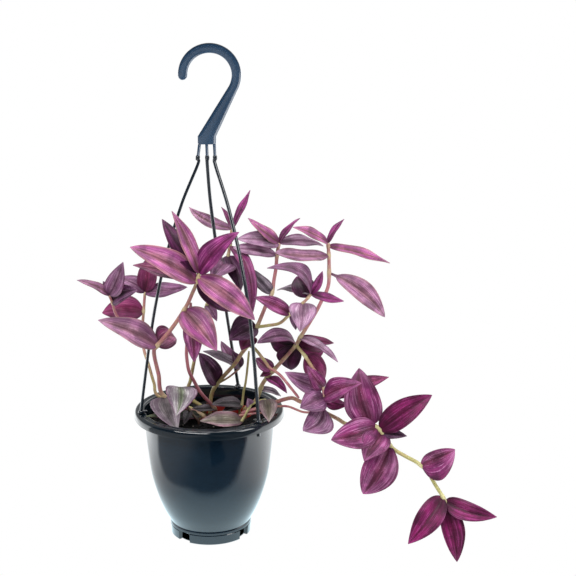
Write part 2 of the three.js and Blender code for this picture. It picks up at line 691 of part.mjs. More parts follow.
function makeStem(stem) {
  const [x, y] = stem.root;
  const foot = [
    new THREE.Vector3(x, y, SOIL_TOP - ROOT_DEPTH),
    new THREE.Vector3(x, y, SOIL_TOP - 1),
    new THREE.Vector3(x, y, SOIL_TOP + 4),
    new THREE.Vector3(x, y, SOIL_TOP + 9),
  ];
  return named(stem.name, toGeometry(join(growth(stem, foot))), COLOURS[stem.colour], 0.5);
}

// The whole plant in its hanging pot

const basket = new THREE.Group();
basket.add(makePot(), makeHook(), ...ARMS.map(makeArm));

const plant = new THREE.Group();
plant.add(makeNurseryPot(), makeSoil(), makeSoilBed());
for (const stem of STEMS) plant.add(makeStem(stem));

const potted = new THREE.Group();
potted.add(basket, plant);
potted.position.set(-HOOK_CENTRE[0], 0, -(HOOK_CENTRE[1] + HOOK_INSIDE_RADIUS));

const root = new THREE.Group();
root.add(potted);

export default root;
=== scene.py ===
"""A potted tradescantia: leafy stems in a nursery pot, inside a glossy hanging pot with a moulded hanger.

The classes hold their sizes in millimetres from the centre of the hanging pot's foot. ``place`` brings such a
point to the frame, which is in metres from the inside top of the hook.
"""
import logging
import math
from dataclasses import dataclass, field
from enum import Enum
from functools import reduce
from random import Random
from typing import Iterable, Optional, Sequence, Union

import bmesh
import bpy
from bmesh.types import BMEdge, BMesh, BMFace, BMVert
from bpy.types import Collection, Material, Node, NodeSocket, NodeTree, Object
from mathutils import Matrix, Vector, noise


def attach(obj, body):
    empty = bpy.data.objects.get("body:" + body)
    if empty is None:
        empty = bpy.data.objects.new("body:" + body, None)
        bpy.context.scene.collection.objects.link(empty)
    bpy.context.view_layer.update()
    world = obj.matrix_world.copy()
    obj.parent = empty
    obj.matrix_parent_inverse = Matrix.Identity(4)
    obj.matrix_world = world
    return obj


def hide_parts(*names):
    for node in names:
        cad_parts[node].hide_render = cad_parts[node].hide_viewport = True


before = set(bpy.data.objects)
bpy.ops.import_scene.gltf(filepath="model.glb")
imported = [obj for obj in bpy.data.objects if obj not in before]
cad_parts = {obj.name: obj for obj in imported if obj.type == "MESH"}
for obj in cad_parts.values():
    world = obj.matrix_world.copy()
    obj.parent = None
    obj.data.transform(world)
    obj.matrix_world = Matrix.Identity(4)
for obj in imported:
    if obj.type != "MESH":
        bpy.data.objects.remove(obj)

LOG = logging.getLogger("potted_tradescantia")
MM = 0.001
FOOT = Vector((4.7, 0.0, 450.5))
BODY = "root"
# Heights that several pieces share: the lower end of the hook's stubs, the foot of its block and the pot's rim.
STUB_END, HEAD_BOTTOM = 357.4, 370.2
POT_RIM = 123.0
# How far one form runs into the next, and the distance below which two points are one.
OVERLAP = 1.0
CLOSE = 1e-4

Pair = tuple[float, float]
Point = tuple[float, float, float]
Limits = tuple[float, ...]
Colour = tuple[float, float, float, float]
Feed = Union[NodeSocket, float, Sequence[float]]


def place(point: Sequence[float]) -> Vector:
    """Brings a point in millimetres from the pot's foot to the frame, in metres."""
    return (Vector(point) - FOOT) * MM


def tint(screen: int) -> Colour:
    """Turns a screen colour, written 0xRRGGBB, into the linear colour that a shader reads."""
    parts = [value / 255.0 for value in screen.to_bytes(3, "big")]
    return (*(p / 12.92 if p <= 0.04045 else ((p + 0.055) / 1.055) ** 2.4 for p in parts), 1.0)


def between(low: float, high: float, share: float) -> float:
    """Gives the value at a share of the way from low to high."""
    return low + (high - low) * share


def clamp(value: float) -> float:
    """Keeps a value between 0 and 1."""
    return min(max(value, 0.0), 1.0)


def polar(azimuth: float, radius: float) -> Pair:
    """Gives x and y at an azimuth in degrees and a radius."""
    angle = math.radians(azimuth)
    return radius * math.cos(angle), radius * math.sin(angle)


def station(spot: Vector, side: Vector, flat: Vector, heading: Vector) -> Matrix:
    """Gives the matrix that brings x, y and z to three directions at a spot."""
    return Matrix.Translation(spot) @ Matrix((side, flat, heading)).transposed().to_4x4()


def stand(name: str, data: bpy.types.ID) -> Object:
    """Puts a new object in the scene."""
    made = bpy.data.objects.new(name, data)
    bpy.context.scene.collection.objects.link(made)
    return made


@dataclass(frozen=True)
class Viewpoint:
    """The photograph's view, which places the camera and sets out the plant.

    eye and sensor are in millimetres, dip in degrees, focal and centre in pixels and clip in metres.
    """

    eye: Point = (73.85, -1165.0, 525.0)
    dip: float = 13.85
    focal: float = 1308.0
    centre: float = 288.0
    sensor: float = 36.0
    clip: Pair = (0.05, 50.0)

    def seen(self, spot: Point) -> Vector:
        """Finds the place that is seen at a column and a row of the photograph.

        Args:
            spot: The column and the row in pixels, and the depth behind the pot's axis in millimetres.

        Returns:
            The place in millimetres from the pot's foot.
        """
        column, row, depth = spot
        dip = math.radians(self.dip)
        right = (column - self.centre) / self.focal
        rise = (self.centre - row) / self.focal
        ray = Vector((right, math.cos(dip) + rise * math.sin(dip), rise * math.cos(dip) - math.sin(dip)))
        eye = Vector(self.eye)
        return eye + ray * ((depth - eye.y) / ray.y)

    def camera(self) -> None:
        """Puts the camera at the photograph's eye."""
        data = bpy.data.cameras.new("photograph_view")
        data.sensor_width = self.sensor
        data.lens = self.sensor * self.focal / (2.0 * self.centre)
        data.clip_start, data.clip_end = self.clip
        camera = bpy.context.scene.camera = stand("photograph_view", data)
        camera.location = place(self.eye)
        camera.rotation_euler = (math.radians(90.0 - self.dip), 0.0, 0.0)


VIEW = Viewpoint()


class Curve:
    """A smooth curve through a list of points, with even parameter steps from one point to the next.

    reach is the share of its way, on either side, over which its heading is taken.
    """

    reach: float = 0.004

    def __init__(self, points: Sequence[Vector]) -> None:
        """Keeps the points and adds one beyond each end."""
        self.points = [Vector(point) for point in points]
        first, last = self.points[0], self.points[-1]
        self.padded = [first * 2 - self.points[1], *self.points, last * 2 - self.points[-2]]

    def at(self, share: float) -> Vector:
        """Finds a point on the curve, in millimetres, at a share of the way counted in points."""
        spans = len(self.points) - 1
        travel = clamp(share) * spans
        index = min(int(travel), spans - 1)
        step = travel - index
        before, start, end, after = self.padded[index:index + 4]
        leave, arrive = (end - before) * 0.5, (after - start) * 0.5
        square, cube = step * step, step * step * step
        return (
            start * (2 * cube - 3 * square + 1) + leave * (cube - 2 * square + step)
            + end * (3 * square - 2 * cube) + arrive * (cube - square)
        )

    def heading(self, share: float) -> Vector:
        """Gives the unit direction of the curve at a share of its way."""
        return (self.at(share + self.reach) - self.at(share - self.reach)).normalized()

    def length(self, samples: int = 60) -> float:
        """Gives the length of the curve in millimetres."""
        spots = [self.at(i / samples) for i in range(samples + 1)]
        return sum((b - a).length for a, b in zip(spots, spots[1:]))


class Wiring:
    """Adds nodes to one node tree and links them."""

    def __init__(self, tree: NodeTree) -> None:
        """Empties the tree."""
        self.tree = tree
        tree.nodes.clear()

    def feed(self, socket: NodeSocket, value: Feed) -> None:
        """Links a socket to the input, or sets the input's own value."""
        if isinstance(value, NodeSocket):
            self.tree.links.new(value, socket)
        else:
            socket.default_value = value

    def node(self, kind: str, inputs: Optional[dict] = None, **settings: object) -> Node:
        """Adds a node.

        Args:
            kind: The node's type name.
            inputs: A value or a socket for each named or numbered input.
            **settings: The node's own settings.

        Returns:
            The new node.
        """
        made = self.tree.nodes.new(kind)
        for name, value in settings.items():
            setattr(made, name, value)
        for name, value in (inputs or {}).items():
            self.feed(made.inputs[name], value)
        return made

    def sums(self, operation: str, *values: Feed) -> NodeSocket:
        """Adds a Math node."""
        return self.node("ShaderNodeMath", dict(enumerate(values)), operation=operation).outputs[0]

    def times(self, *values: Feed) -> NodeSocket:
        """Multiplies values."""
        return reduce(lambda one, two: self.sums("MULTIPLY", one, two), values)

    def plus(self, *values: Feed) -> NodeSocket:
        """Adds values up."""
        return reduce(lambda one, two: self.sums("ADD", one, two), values)

    def minus(self, one: Feed, two: Feed) -> NodeSocket:
        """Takes a value from another."""
        return self.sums("SUBTRACT", one, two)

    def ease(self, value: Feed, low: float, high: float, start: float = 0.0, end: float = 1.0) -> NodeSocket:
        """Adds a smooth step of a value between two limits."""
        names = ("Value", "From Min", "From Max", "To Min", "To Max")
        inputs = dict(zip(names, (value, low, high, start, end)))
        return self.node("ShaderNodeMapRange", inputs, interpolation_type="SMOOTHSTEP").outputs["Result"]

    def blend_values(self, share: Feed, first: Feed, second: Feed) -> NodeSocket:
        """Mixes two plain values."""
        return self.node("ShaderNodeMix", {0: share, 2: first, 3: second}, data_type="FLOAT").outputs[0]

    def blend(self, share: Feed, first: Feed, second: Feed, how: str = "MIX") -> NodeSocket:
        """Mixes two colours."""
        inputs = {0: share, 6: first, 7: second}
        return self.node("ShaderNodeMix", inputs, data_type="RGBA", blend_type=how).outputs[2]

    def grain(self, vector: Feed, scale: float, detail: float = 2.0, rough: float = 0.5) -> NodeSocket:
        """Adds a noise texture and returns its value."""
        inputs = {"Vector": vector, "Scale": scale, "Detail": detail, "Roughness": rough}
        return self.node("ShaderNodeTexNoise", inputs).outputs[0]

    def stretch(self, vector: Feed, scale: Point) -> NodeSocket:
        """Scales a vector."""
        return self.node("ShaderNodeMapping", {"Vector": vector, "Scale": scale}).outputs[0]

    def split(self, vector: Feed) -> list[NodeSocket]:
        """Gives the three parts of a vector."""
        return list(self.node("ShaderNodeSeparateXYZ", {0: vector}).outputs)

    def spot(self, kind: str = "Object") -> NodeSocket:
        """Gives the shaded point in the piece's own coordinates, or in others."""
        return self.node("ShaderNodeTexCoord").outputs[kind]

    def mark(self, name: str) -> NodeSocket:
        """Gives a vector that is kept on the piece's vertices."""
        return self.node("ShaderNodeAttribute", attribute_name=name).outputs["Vector"]


class SharedGroup:
    """A node group that several materials use, built once. It gives a Colour, a Roughness and a Height."""

    made: dict[str, NodeTree] = {}

    def __init__(self, name: str, vectors: Sequence[str], colours: Sequence[str], values: Sequence[str]) -> None:
        """Makes the group's sockets from the names of its inputs of each kind."""
        self.tree = SharedGroup.made[name] = bpy.data.node_groups.new(name, "ShaderNodeTree")
        sockets = [("INPUT", "Vector", label) for label in vectors] + [("INPUT", "Color", label) for label in colours]
        sockets += [("INPUT", "Float", label) for label in values]
        sockets += [("OUTPUT", "Color", "Colour"), ("OUTPUT", "Float", "Roughness"), ("OUTPUT", "Float", "Height")]
        for way, kind, label in sockets:
            self.tree.interface.new_socket(label, in_out=way, socket_type=f"NodeSocket{kind}")
        self.wiring = Wiring(self.tree)
        self.taken = self.wiring.node("NodeGroupInput").outputs
        self.given = self.wiring.node("NodeGroupOutput").inputs

    def give(self, *results: Feed) -> None:
        """Feeds the group's colour, roughness and height."""
        for socket, result in zip(self.given, results):
            self.wiring.feed(socket, result)

    @classmethod
    def use(cls, wiring: Wiring, name: str, **inputs: Feed) -> list[NodeSocket]:
        """Places a built group in a material, feeds its inputs and returns its outputs."""
        made = wiring.node("ShaderNodeGroup", node_tree=cls.made[name])
        for label, value in inputs.items():
            wiring.feed(made.inputs[label.replace("_", " ")], value)
        return list(made.outputs)


def build_blade_pattern() -> None:
    """Builds the colouring of a leaf: a heart along the rib, bands beside it, a margin, streaks and fine veins,
    with painted glints and painted shade towards the base.
    """
    group = SharedGroup(
        "blade_pattern", ("Blade", "Spot"), ("Heart", "Band", "Margin", "Streak", "Rim"),
        ("Heart Width", "Streaks", "Shade", "Pale Tip"),
    )
    w, taken = group.wiring, group.taken
    blade, spot, streak, streaks = (taken[name] for name in ("Blade", "Spot", "Streak", "Streaks"))
    along, across, _ = w.split(blade)
    off_rib = w.sums("ABSOLUTE", across)
    wander = w.times(w.minus(w.grain(w.stretch(blade, (2.2, 0.8, 7.0)), 1.0), 0.5), 0.5)
    reach = w.plus(off_rib, w.times(wander, w.ease(off_rib, 0.0, 0.4)))
    edge = w.times(taken["Heart Width"], w.ease(along, 0.55, 1.0, 1.0, 0.55))
    colour = w.blend(w.ease(w.minus(reach, edge), -0.22, 0.22, 1.0, 0.0), taken["Band"], taken["Heart"])
    colour = w.blend(w.ease(reach, 0.62, 0.94), colour, taken["Margin"])
    dark = w.blend(1.0, colour, (0.34, 0.22, 0.34, 1.0), "MULTIPLY")
    coarse = w.grain(w.stretch(blade, (1.1, 4.6, 9.0)), 1.0, 2.0, 0.6)
    fine = w.grain(w.stretch(blade, (2.0, 16.0, 13.0)), 1.0, 3.0, 0.7)
    thin = w.grain(w.stretch(blade, (3.0, 24.0, 31.0)), 1.0, 2.0, 0.7)
    away = w.times(w.ease(reach, 0.04, 0.22), w.ease(along, 0.02, 0.2))
    # Fine bright points in the streak colour: painted glints.
    painted_glints = w.ease(w.grain(spot, 1100.0, 2.0, 0.7), 0.56, 0.7)
    for laid, *shares in (
        (dark, w.ease(coarse, 0.54, 0.36), 0.5),
        (streak, w.ease(coarse, 0.53, 0.7), away, streaks, 0.6),
        (streak, w.ease(fine, 0.54, 0.64), away, streaks),
        (dark, w.ease(thin, 0.52, 0.38), 0.65),
        (streak, painted_glints, w.ease(fine, 0.42, 0.6), streaks, 0.75),
        (dark, w.ease(off_rib, 0.02, 0.06, 0.55, 0.0)),
        (taken["Rim"], w.ease(off_rib, 0.9, 0.99, 0.0, 0.5)),
        # Darker towards the base by Shade: painted shade.
        (dark, w.ease(along, 0.4, 0.0), taken["Shade"]),
        (streak, w.ease(along, 0.8, 1.0), taken["Pale Tip"]),
    ):
        colour = w.blend(w.times(*shares), colour, laid)
    cloud = w.ease(w.grain(spot, 80.0, 3.0), 0.35, 0.68, 0.56, 1.18)
    shades = w.node("ShaderNodeCombineXYZ", dict.fromkeys(range(3), cloud)).outputs[0]
    colour = w.blend(1.0, colour, shades, "MULTIPLY")
    group.give(colour, w.ease(fine, 0.3, 0.7, 0.4, 0.56), w.plus(w.times(fine, 0.6), w.times(coarse, 0.4)))


def build_moulded_skin() -> None:
    """Builds the skin of moulded plastic: a faint cloud in the colour, light dust and a fine grain."""
    group = SharedGroup("moulded_skin", ("Spot",), ("Base", "Dust"), ("Dust Share", "Smoothness"))
    w, taken = group.wiring, group.taken
    spot, base = taken["Spot"], taken["Base"]
    cloud = w.grain(spot, 22.0, 3.0)
    dust = w.times(w.ease(w.grain(spot, 420.0, 2.0, 0.7), 0.55, 0.75), w.ease(cloud, 0.35, 0.7), taken["Dust Share"])
    shade = w.blend(1.0, base, (0.72, 0.74, 0.78, 1.0), "MULTIPLY")
    colour = w.blend(dust, w.blend(w.ease(cloud, 0.3, 0.7), shade, base), taken["Dust"])
    rough = w.plus(taken["Smoothness"], dust, w.ease(cloud, 0.3, 0.7, 0.0, 0.03))
    group.give(colour, rough, w.grain(spot, 900.0))


def bare_material(name: str) -> tuple[Material, Wiring]:
    """Makes an empty node material and the wiring of its tree."""
    material = bpy.data.materials.new(name)
    material.use_nodes = True
    return material, Wiring(material.node_tree)


def finish_surface(
    wiring: Wiring, colour: Feed, rough: Feed, height: Feed, depth: float, **settings: float,
) -> None:
    """Ends a material with a Principled shader and a bump.

    Args:
        wiring: The material's wiring.
        colour: What feeds the base colour.
        rough: What feeds the roughness.
        height: What feeds the bump.
        depth: The bump's distance in metres, or 0 for a plain surface.
        **settings: Constant values of the shader's other sockets, with _ for a space.
    """
    shader = wiring.node("ShaderNodeBsdfPrincipled", {"Base Color": colour, "Roughness": rough})
    if depth:
        bump = wiring.node("ShaderNodeBump", {"Strength": 0.6, "Distance": depth, "Height": height})
        wiring.feed(shader.inputs["Normal"], bump.outputs[0])
    for name, value in settings.items():
        shader.inputs[name.replace("_", " ")].default_value = value
    wiring.node("ShaderNodeOutputMaterial", {0: shader.outputs[0]})


@dataclass(frozen=True)
class LeafFinish:
    """The screen colours of one kind of leaf, from its rib to its margin."""

    heart: int
    band: int
    margin: int
    streak: int
    rim: int = 0x803A62
    heart_width: float = 0.3
    streaks: float = 0.55
    # shade is how much the blade is darkened towards its base: painted shade.
    shade: float = 0.5
    pale_tip: float = 0.15

    def material(self, name: str) -> Material:
        """Makes the material, which reads from the attribute blade where on a blade it is."""
        material, w = bare_material(name)
        pattern = SharedGroup.use(
            w, "blade_pattern", Blade=w.mark("blade"), Spot=w.spot(), Heart=tint(self.heart), Band=tint(self.band),
            Margin=tint(self.margin), Streak=tint(self.streak), Rim=tint(self.rim), Heart_Width=self.heart_width,
            Streaks=self.streaks, Shade=self.shade, Pale_Tip=self.pale_tip,
        )
        finish_surface(w, *pattern, depth=0.0004, Specular_IOR_Level=0.3, Sheen_Weight=0.06)
        return material


class Tone(Enum):
    """The kinds of leaf on the plant."""

    ROSE = LeafFinish(0xA06472, 0xB65A9C, 0xAC7082, 0xE8AACE, 0xC48E88, streaks=0.7)
    BLUSH = LeafFinish(0x9D6E7C, 0xAB709A, 0xA5768C, 0xE2B2CE, 0xBE928E, streaks=0.65, pale_tip=0.4)
    RUSSET = LeafFinish(0x803852, 0x943A6E, 0x5C0C40, 0xCA94AC)
    MAGENTA = LeafFinish(0x64003E, 0x7E0254, 0x600040, 0xC854A6, streaks=0.5, shade=0.7)
    ORCHID = LeafFinish(0x701852, 0x8E2474, 0x72205A, 0xD478B8, streaks=0.65)
    WINE = LeafFinish(0x751D46, 0x89235E, 0x6B1B48, 0xB25E90, streaks=0.45)
    CRIMSON = LeafFinish(0x7F2752, 0x8F3168, 0x752954, 0xBC6C94, streaks=0.5)
    PLUM = LeafFinish(0x803158, 0x923574, 0x782B5C, 0xE098CC, streaks=0.65)
    MAUVE = LeafFinish(0x7F4F6E, 0x935B86, 0x77476C, 0xD0ACC8, streaks=0.65)
    LILAC = LeafFinish(0x9C708C, 0xB88AAC, 0x9A6C90, 0xE6CEE0, streaks=0.7, shade=0.2)
    DUSK = LeafFinish(0x4A203E, 0x62305A, 0x441C3E, 0xB08CAA, streaks=0.5, shade=0.5)
    # NIGHT is a near-black purple for leaves that lie in the shade of others: partly their own colour, partly painted
    # shade.
    NIGHT = LeafFinish(0x400430, 0x560C46, 0x3C0430, 0x965086, streaks=0.45, shade=0.6)
    SILVER = LeafFinish(0x70805E, 0x9E929A, 0x866C82, 0xE4E4E0, heart_width=0.2, streaks=0.75, shade=0.15)
    HOAR = LeafFinish(0x6E6868, 0x8E808A, 0x847080, 0xC8C2C2, 0xA08C98, streaks=0.6, pale_tip=0.6)
    ASH = LeafFinish(0x635762, 0x938392, 0x736372, 0xCEC6CC, 0xA09692, streaks=0.65, shade=0.3)
    SMOKE = LeafFinish(0x383638, 0x564E56, 0x483E48, 0xB4B0AE, 0x78706C, streaks=0.55, shade=0.3)
    TAUPE = LeafFinish(0x746E5C, 0x82706E, 0x966C7C, 0xD0C8C0, 0xB8A09A, heart_width=0.4, streaks=0.55)
    OLIVE = LeafFinish(0x222C20, 0x2E3A2A, 0x1E221A, 0x96A078, streaks=0.25, pale_tip=0.7)
    UNDER = LeafFinish(0x7C245C, 0x882A6A, 0x76245C, 0xBA6C9E, streaks=0.4, shade=0.2)


@dataclass(frozen=True)
class PlasticFinish:
    """A moulded plastic, with its colours as on a screen."""

    name: str
    base: int
    dust: int
    dust_share: float
    smoothness: float
    depth: float = 0.0
    coat: float = 0.0
    gleam: float = 0.5

    def material(self) -> Material:
        """Makes the plastic's material."""
        material, w = bare_material(self.name)
        skin = SharedGroup.use(
            w, "moulded_skin", Spot=w.spot(), Base=tint(self.base), Dust=tint(self.dust),
            Dust_Share=self.dust_share, Smoothness=self.smoothness,
        )
        coat = {"Coat_Weight": self.coat, "Coat_Roughness": 0.08}
        finish_surface(w, *skin, self.depth, Specular_IOR_Level=self.gleam, **coat)
        return material


POT_GLOSS = PlasticFinish("pot_gloss", 0x10212F, 0x6E7880, 0.05, 0.06, coat=0.5)
POT_LIP = PlasticFinish("pot_lip", 0x141E26, 0x6E7880, 0.03, 0.07, coat=0.5)
# A darker, rougher copy of the pot's plastic for its inside and underside: painted shade.
POT_SHADED_INSIDE = PlasticFinish("pot_inside", 0x040608, 0x3C4248, 0.03, 0.35, gleam=0.2)
HANGER_SATIN = PlasticFinish("hanger_satin", 0x28425C, 0x96A0AC, 0.015, 0.2, coat=1.0, gleam=1.0)
ARM_GLOSS = PlasticFinish("arm_gloss", 0x18222C, 0x96A0AC, 0.03, 0.16, coat=0.7, gleam=0.9)
NURSERY_MATT = PlasticFinish("nursery_matt", 0xA8261E, 0x603228, 0.4, 0.45, depth=0.0001)


@dataclass(frozen=True)
class SoilFinish:
    """Moist potting soil, or one kind of bit that lies in it."""

    name: str
    dark: int
    light: int

    def material(self) -> Material:
        """Makes the soil's material."""
        material, w = bare_material(self.name)
        crumbs, patches = w.grain(w.spot(), 700.0, 4.0, 0.7), w.grain(w.spot(), 90.0, 2.0)
        share = w.ease(w.plus(w.times(crumbs, 0.7), w.times(patches, 0.3)), 0.38, 0.66)
        colour = w.blend(share, tint(self.dark), tint(self.light))
        rough = w.ease(crumbs, 0.3, 0.7, 0.83, 0.95)
        finish_surface(w, colour, rough, crumbs, depth=0.0009, Specular_IOR_Level=0.3)
        return material


@dataclass(frozen=True)
class StemFinish:
    """The skin of the stems: pale at the joints, green or pink between them."""

    name: str = "stem_skin"
    green: int = 0xB4B070
    pink: int = 0xAA6670
    pale: int = 0xD4CE98
    fleck: int = 0x763A42

    def material(self) -> Material:
        """Makes the stem's material, which reads how pale and how pink it is from the attribute growth."""
        material, w = bare_material(self.name)
        paleness, blush, _ = w.split(w.mark("growth"))
        spot = w.spot()
        mottle = w.grain(spot, 260.0, 3.0, 0.6)
        drift = w.times(w.minus(mottle, 0.5), 0.7)
        fleck = w.ease(w.grain(w.stretch(spot, (1.0, 1.0, 0.25)), 1500.0, 2.0, 0.7), 0.55, 0.7)
        colour = w.blend(w.ease(w.plus(blush, drift), 0.2, 0.8), tint(self.green), tint(self.pink))
        colour = w.blend(w.ease(w.plus(paleness, drift), 0.2, 0.9), colour, tint(self.pale))
        colour = w.blend(w.times(fleck, 0.3), colour, tint(self.fleck))
        rough = w.ease(mottle, 0.3, 0.7, 0.36, 0.5)
        finish_surface(w, colour, rough, mottle, depth=0.0003, Specular_IOR_Level=0.45, Coat_Weight=0.1)
        return material


class Materials:
    """Makes each finish once and hands it out."""

    def __init__(self) -> None:
        """Starts with no material made."""
        self.made: dict[str, Material] = {}

    def leaf(self, tone: Tone) -> Material:
        """Gives the material of a kind of leaf."""
        name = f"leaf_{tone.name.lower()}"
        if name not in self.made:
            self.made[name] = tone.value.material(name)
        return self.made[name]

    def of(self, finish: Union[PlasticFinish, SoilFinish, StemFinish]) -> Material:
        """Gives the material of a finish."""
        if finish.name not in self.made:
            self.made[finish.name] = finish.material()
        return self.made[finish.name]


@dataclass
class Workpiece:
    """A mesh in the making, which becomes one piece of the scene."""

    name: str
    mesh: BMesh = field(default_factory=bmesh.new)

    def spin(
        self, profile: Sequence[Pair], centre: Pair = (0.0, 0.0), steps: int = 96, start: float = 0.0,
        sweep: float = 360.0,
    ) -> None:
        """Turns a profile about an upright axis. A part turn is closed by a flat face at each end.

        Args:
            profile: The radius and the height of each point, in millimetres.
            centre: Where the axis stands.
            steps: How many steps the turn has.
            start: The azimuth of the profile in degrees.
            sweep: The angle of the turn in degrees.
        """
        before = set(self.mesh.faces)
        x, y = centre
        cos, sin = polar(start, 1.0)
        verts = [self.mesh.verts.new((x + r * cos, y + r * sin, z)) for r, z in profile]
        turned = verts + [self.mesh.edges.new(pair) for pair in zip(verts, verts[1:])]
        whole = sweep == 360.0
        if not whole:
            turned += [self.mesh.edges.new((verts[-1], verts[0])), self.mesh.faces.new(verts)]
        bmesh.ops.spin(
            self.mesh, geom=turned, cent=(x, y, 0.0), axis=(0.0, 0.0, 1.0), angle=math.radians(sweep), steps=steps,
            use_merge=whole, use_duplicate=False,
        )
        touched = {vert for face in self.mesh.faces if face not in before for vert in face.verts}
        bmesh.ops.remove_doubles(self.mesh, verts=list(touched), dist=CLOSE)

    def sweep(
        self, stations: Sequence[Matrix], sides: int, squareness: float = 1.0,
        marks: Optional[tuple[str, Sequence[Point]]] = None,
    ) -> None:
        """Draws a round section out along a row of stations.

        Args:
            stations: A matrix for each station, which turns, sizes and places the unit circle.
            sides: How many sides the section has.
            squareness: The power of the section's outline. Below 1 it is squarer than a circle.
            marks: The name of a vertex layer and the value that it has at each station.
        """
        ring = bmesh.ops.create_circle(self.mesh, segments=sides, radius=1.0, cap_ends=False)["verts"]
        for vert in ring:
            for axis in (0, 1):
                vert.co[axis] = math.copysign(abs(vert.co[axis]) ** squareness, vert.co[axis])
        edges = list({edge for vert in ring for edge in vert.link_edges})
        bmesh.ops.transform(self.mesh, matrix=stations[0], verts=ring)
        bmesh.ops.holes_fill(self.mesh, edges=edges, sides=sides)
        rings = [ring]
        for one, two in zip(stations, stations[1:]):
            grown = bmesh.ops.extrude_edge_only(self.mesh, edges=edges)["geom"]
            ring = [item for item in grown if isinstance(item, BMVert)]
            fresh = set(ring)
            edges = [item for item in grown if isinstance(item, BMEdge) and fresh.issuperset(item.verts)]
            bmesh.ops.transform(self.mesh, matrix=two @ one.inverted_safe(), verts=ring)
            rings.append(ring)
        bmesh.ops.holes_fill(self.mesh, edges=edges, sides=sides)
        if marks:
            layer = self.mesh.verts.layers.float_vector[marks[0]]
            for ring, value in zip(rings, marks[1]):
                for vert in ring:
                    vert[layer] = value

    def post(self, radii: Pair, low: Sequence[float], high: Sequence[float], sides: int, bevel: float) -> None:
        """Adds a round post or cone between two points, with its end edges rounded.

        Args:
            radii: The radius at the low and at the high end.
            low: The low end's centre.
            high: The high end's centre.
            sides: How many sides it has.
            bevel: The width of the rounding.
        """
        start, end = Vector(low), Vector(high)
        axis = end - start
        turn = axis.to_track_quat("Z", "Y").to_matrix().to_4x4()
        made = bmesh.ops.create_cone(
            self.mesh, cap_ends=True, segments=sides, radius1=radii[0], radius2=radii[1], depth=axis.length,
            matrix=Matrix.Translation((start + end) / 2) @ turn,
        )["verts"]
        caps = {face for vert in made for face in vert.link_faces if len(face.verts) > 4}
        self.round_edges({edge for face in caps for edge in face.edges}, bevel)

    def block(self, size: Point, matrix: Matrix, bevel: float) -> None:
        """Adds a box with rounded edges, turned and placed by a matrix."""
        made = bmesh.ops.create_cube(self.mesh, size=1.0, matrix=matrix @ Matrix.Diagonal((*size, 1.0)))["verts"]
        self.round_edges({edge for vert in made for edge in vert.link_edges}, bevel)

    def round_edges(self, edges: Iterable[BMEdge], width: float) -> None:
        """Rounds edges by a width in millimetres."""
        bmesh.ops.bevel(
            self.mesh, geom=list(edges), offset=width, offset_type="OFFSET", affect="EDGES", segments=3, profile=0.5,
            material=-1, clamp_overlap=True,
        )

    def paint(self, index: int, faces: Iterable[BMFace]) -> None:
        """Gives faces a material slot."""
        for face in faces:
            face.material_index = index

    def finish(
        self, materials: Sequence[Material], node: str, slot: str, sharp: float = 38.0, outward: bool = True,
    ) -> Object:
        """Turns the mesh into a piece that rides on the part's body.

        Args:
            materials: The piece's materials, in the order of its slots.
            node: The solid that the piece stands for.
            slot: The record's material slot. It is not used.
            sharp: The angle in degrees from which an edge stays sharp.
            outward: Whether the faces are turned outwards here.

        Returns:
            The finished object.
        """
        if outward:
            bmesh.ops.recalc_face_normals(self.mesh, faces=list(self.mesh.faces))
        self.mesh.normal_update()
        for face in self.mesh.faces:
            face.smooth = True
        for edge in self.mesh.edges:
            edge.smooth = len(edge.link_faces) == 2 and edge.calc_face_angle(0.0) < math.radians(sharp)
        to_frame = Matrix.Scale(MM, 4) @ Matrix.Translation(-FOOT)
        bmesh.ops.transform(self.mesh, matrix=to_frame, verts=list(self.mesh.verts))
        data = bpy.data.meshes.new(self.name)
        self.mesh.to_mesh(data)
        self.mesh.free()
        for material in materials:
            data.materials.append(material)
        piece = stand(self.name, data)
        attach(piece, BODY)
        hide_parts(node)
        LOG.info("%s: %d faces, for %s", self.name, len(data.polygons), node)
        return piece


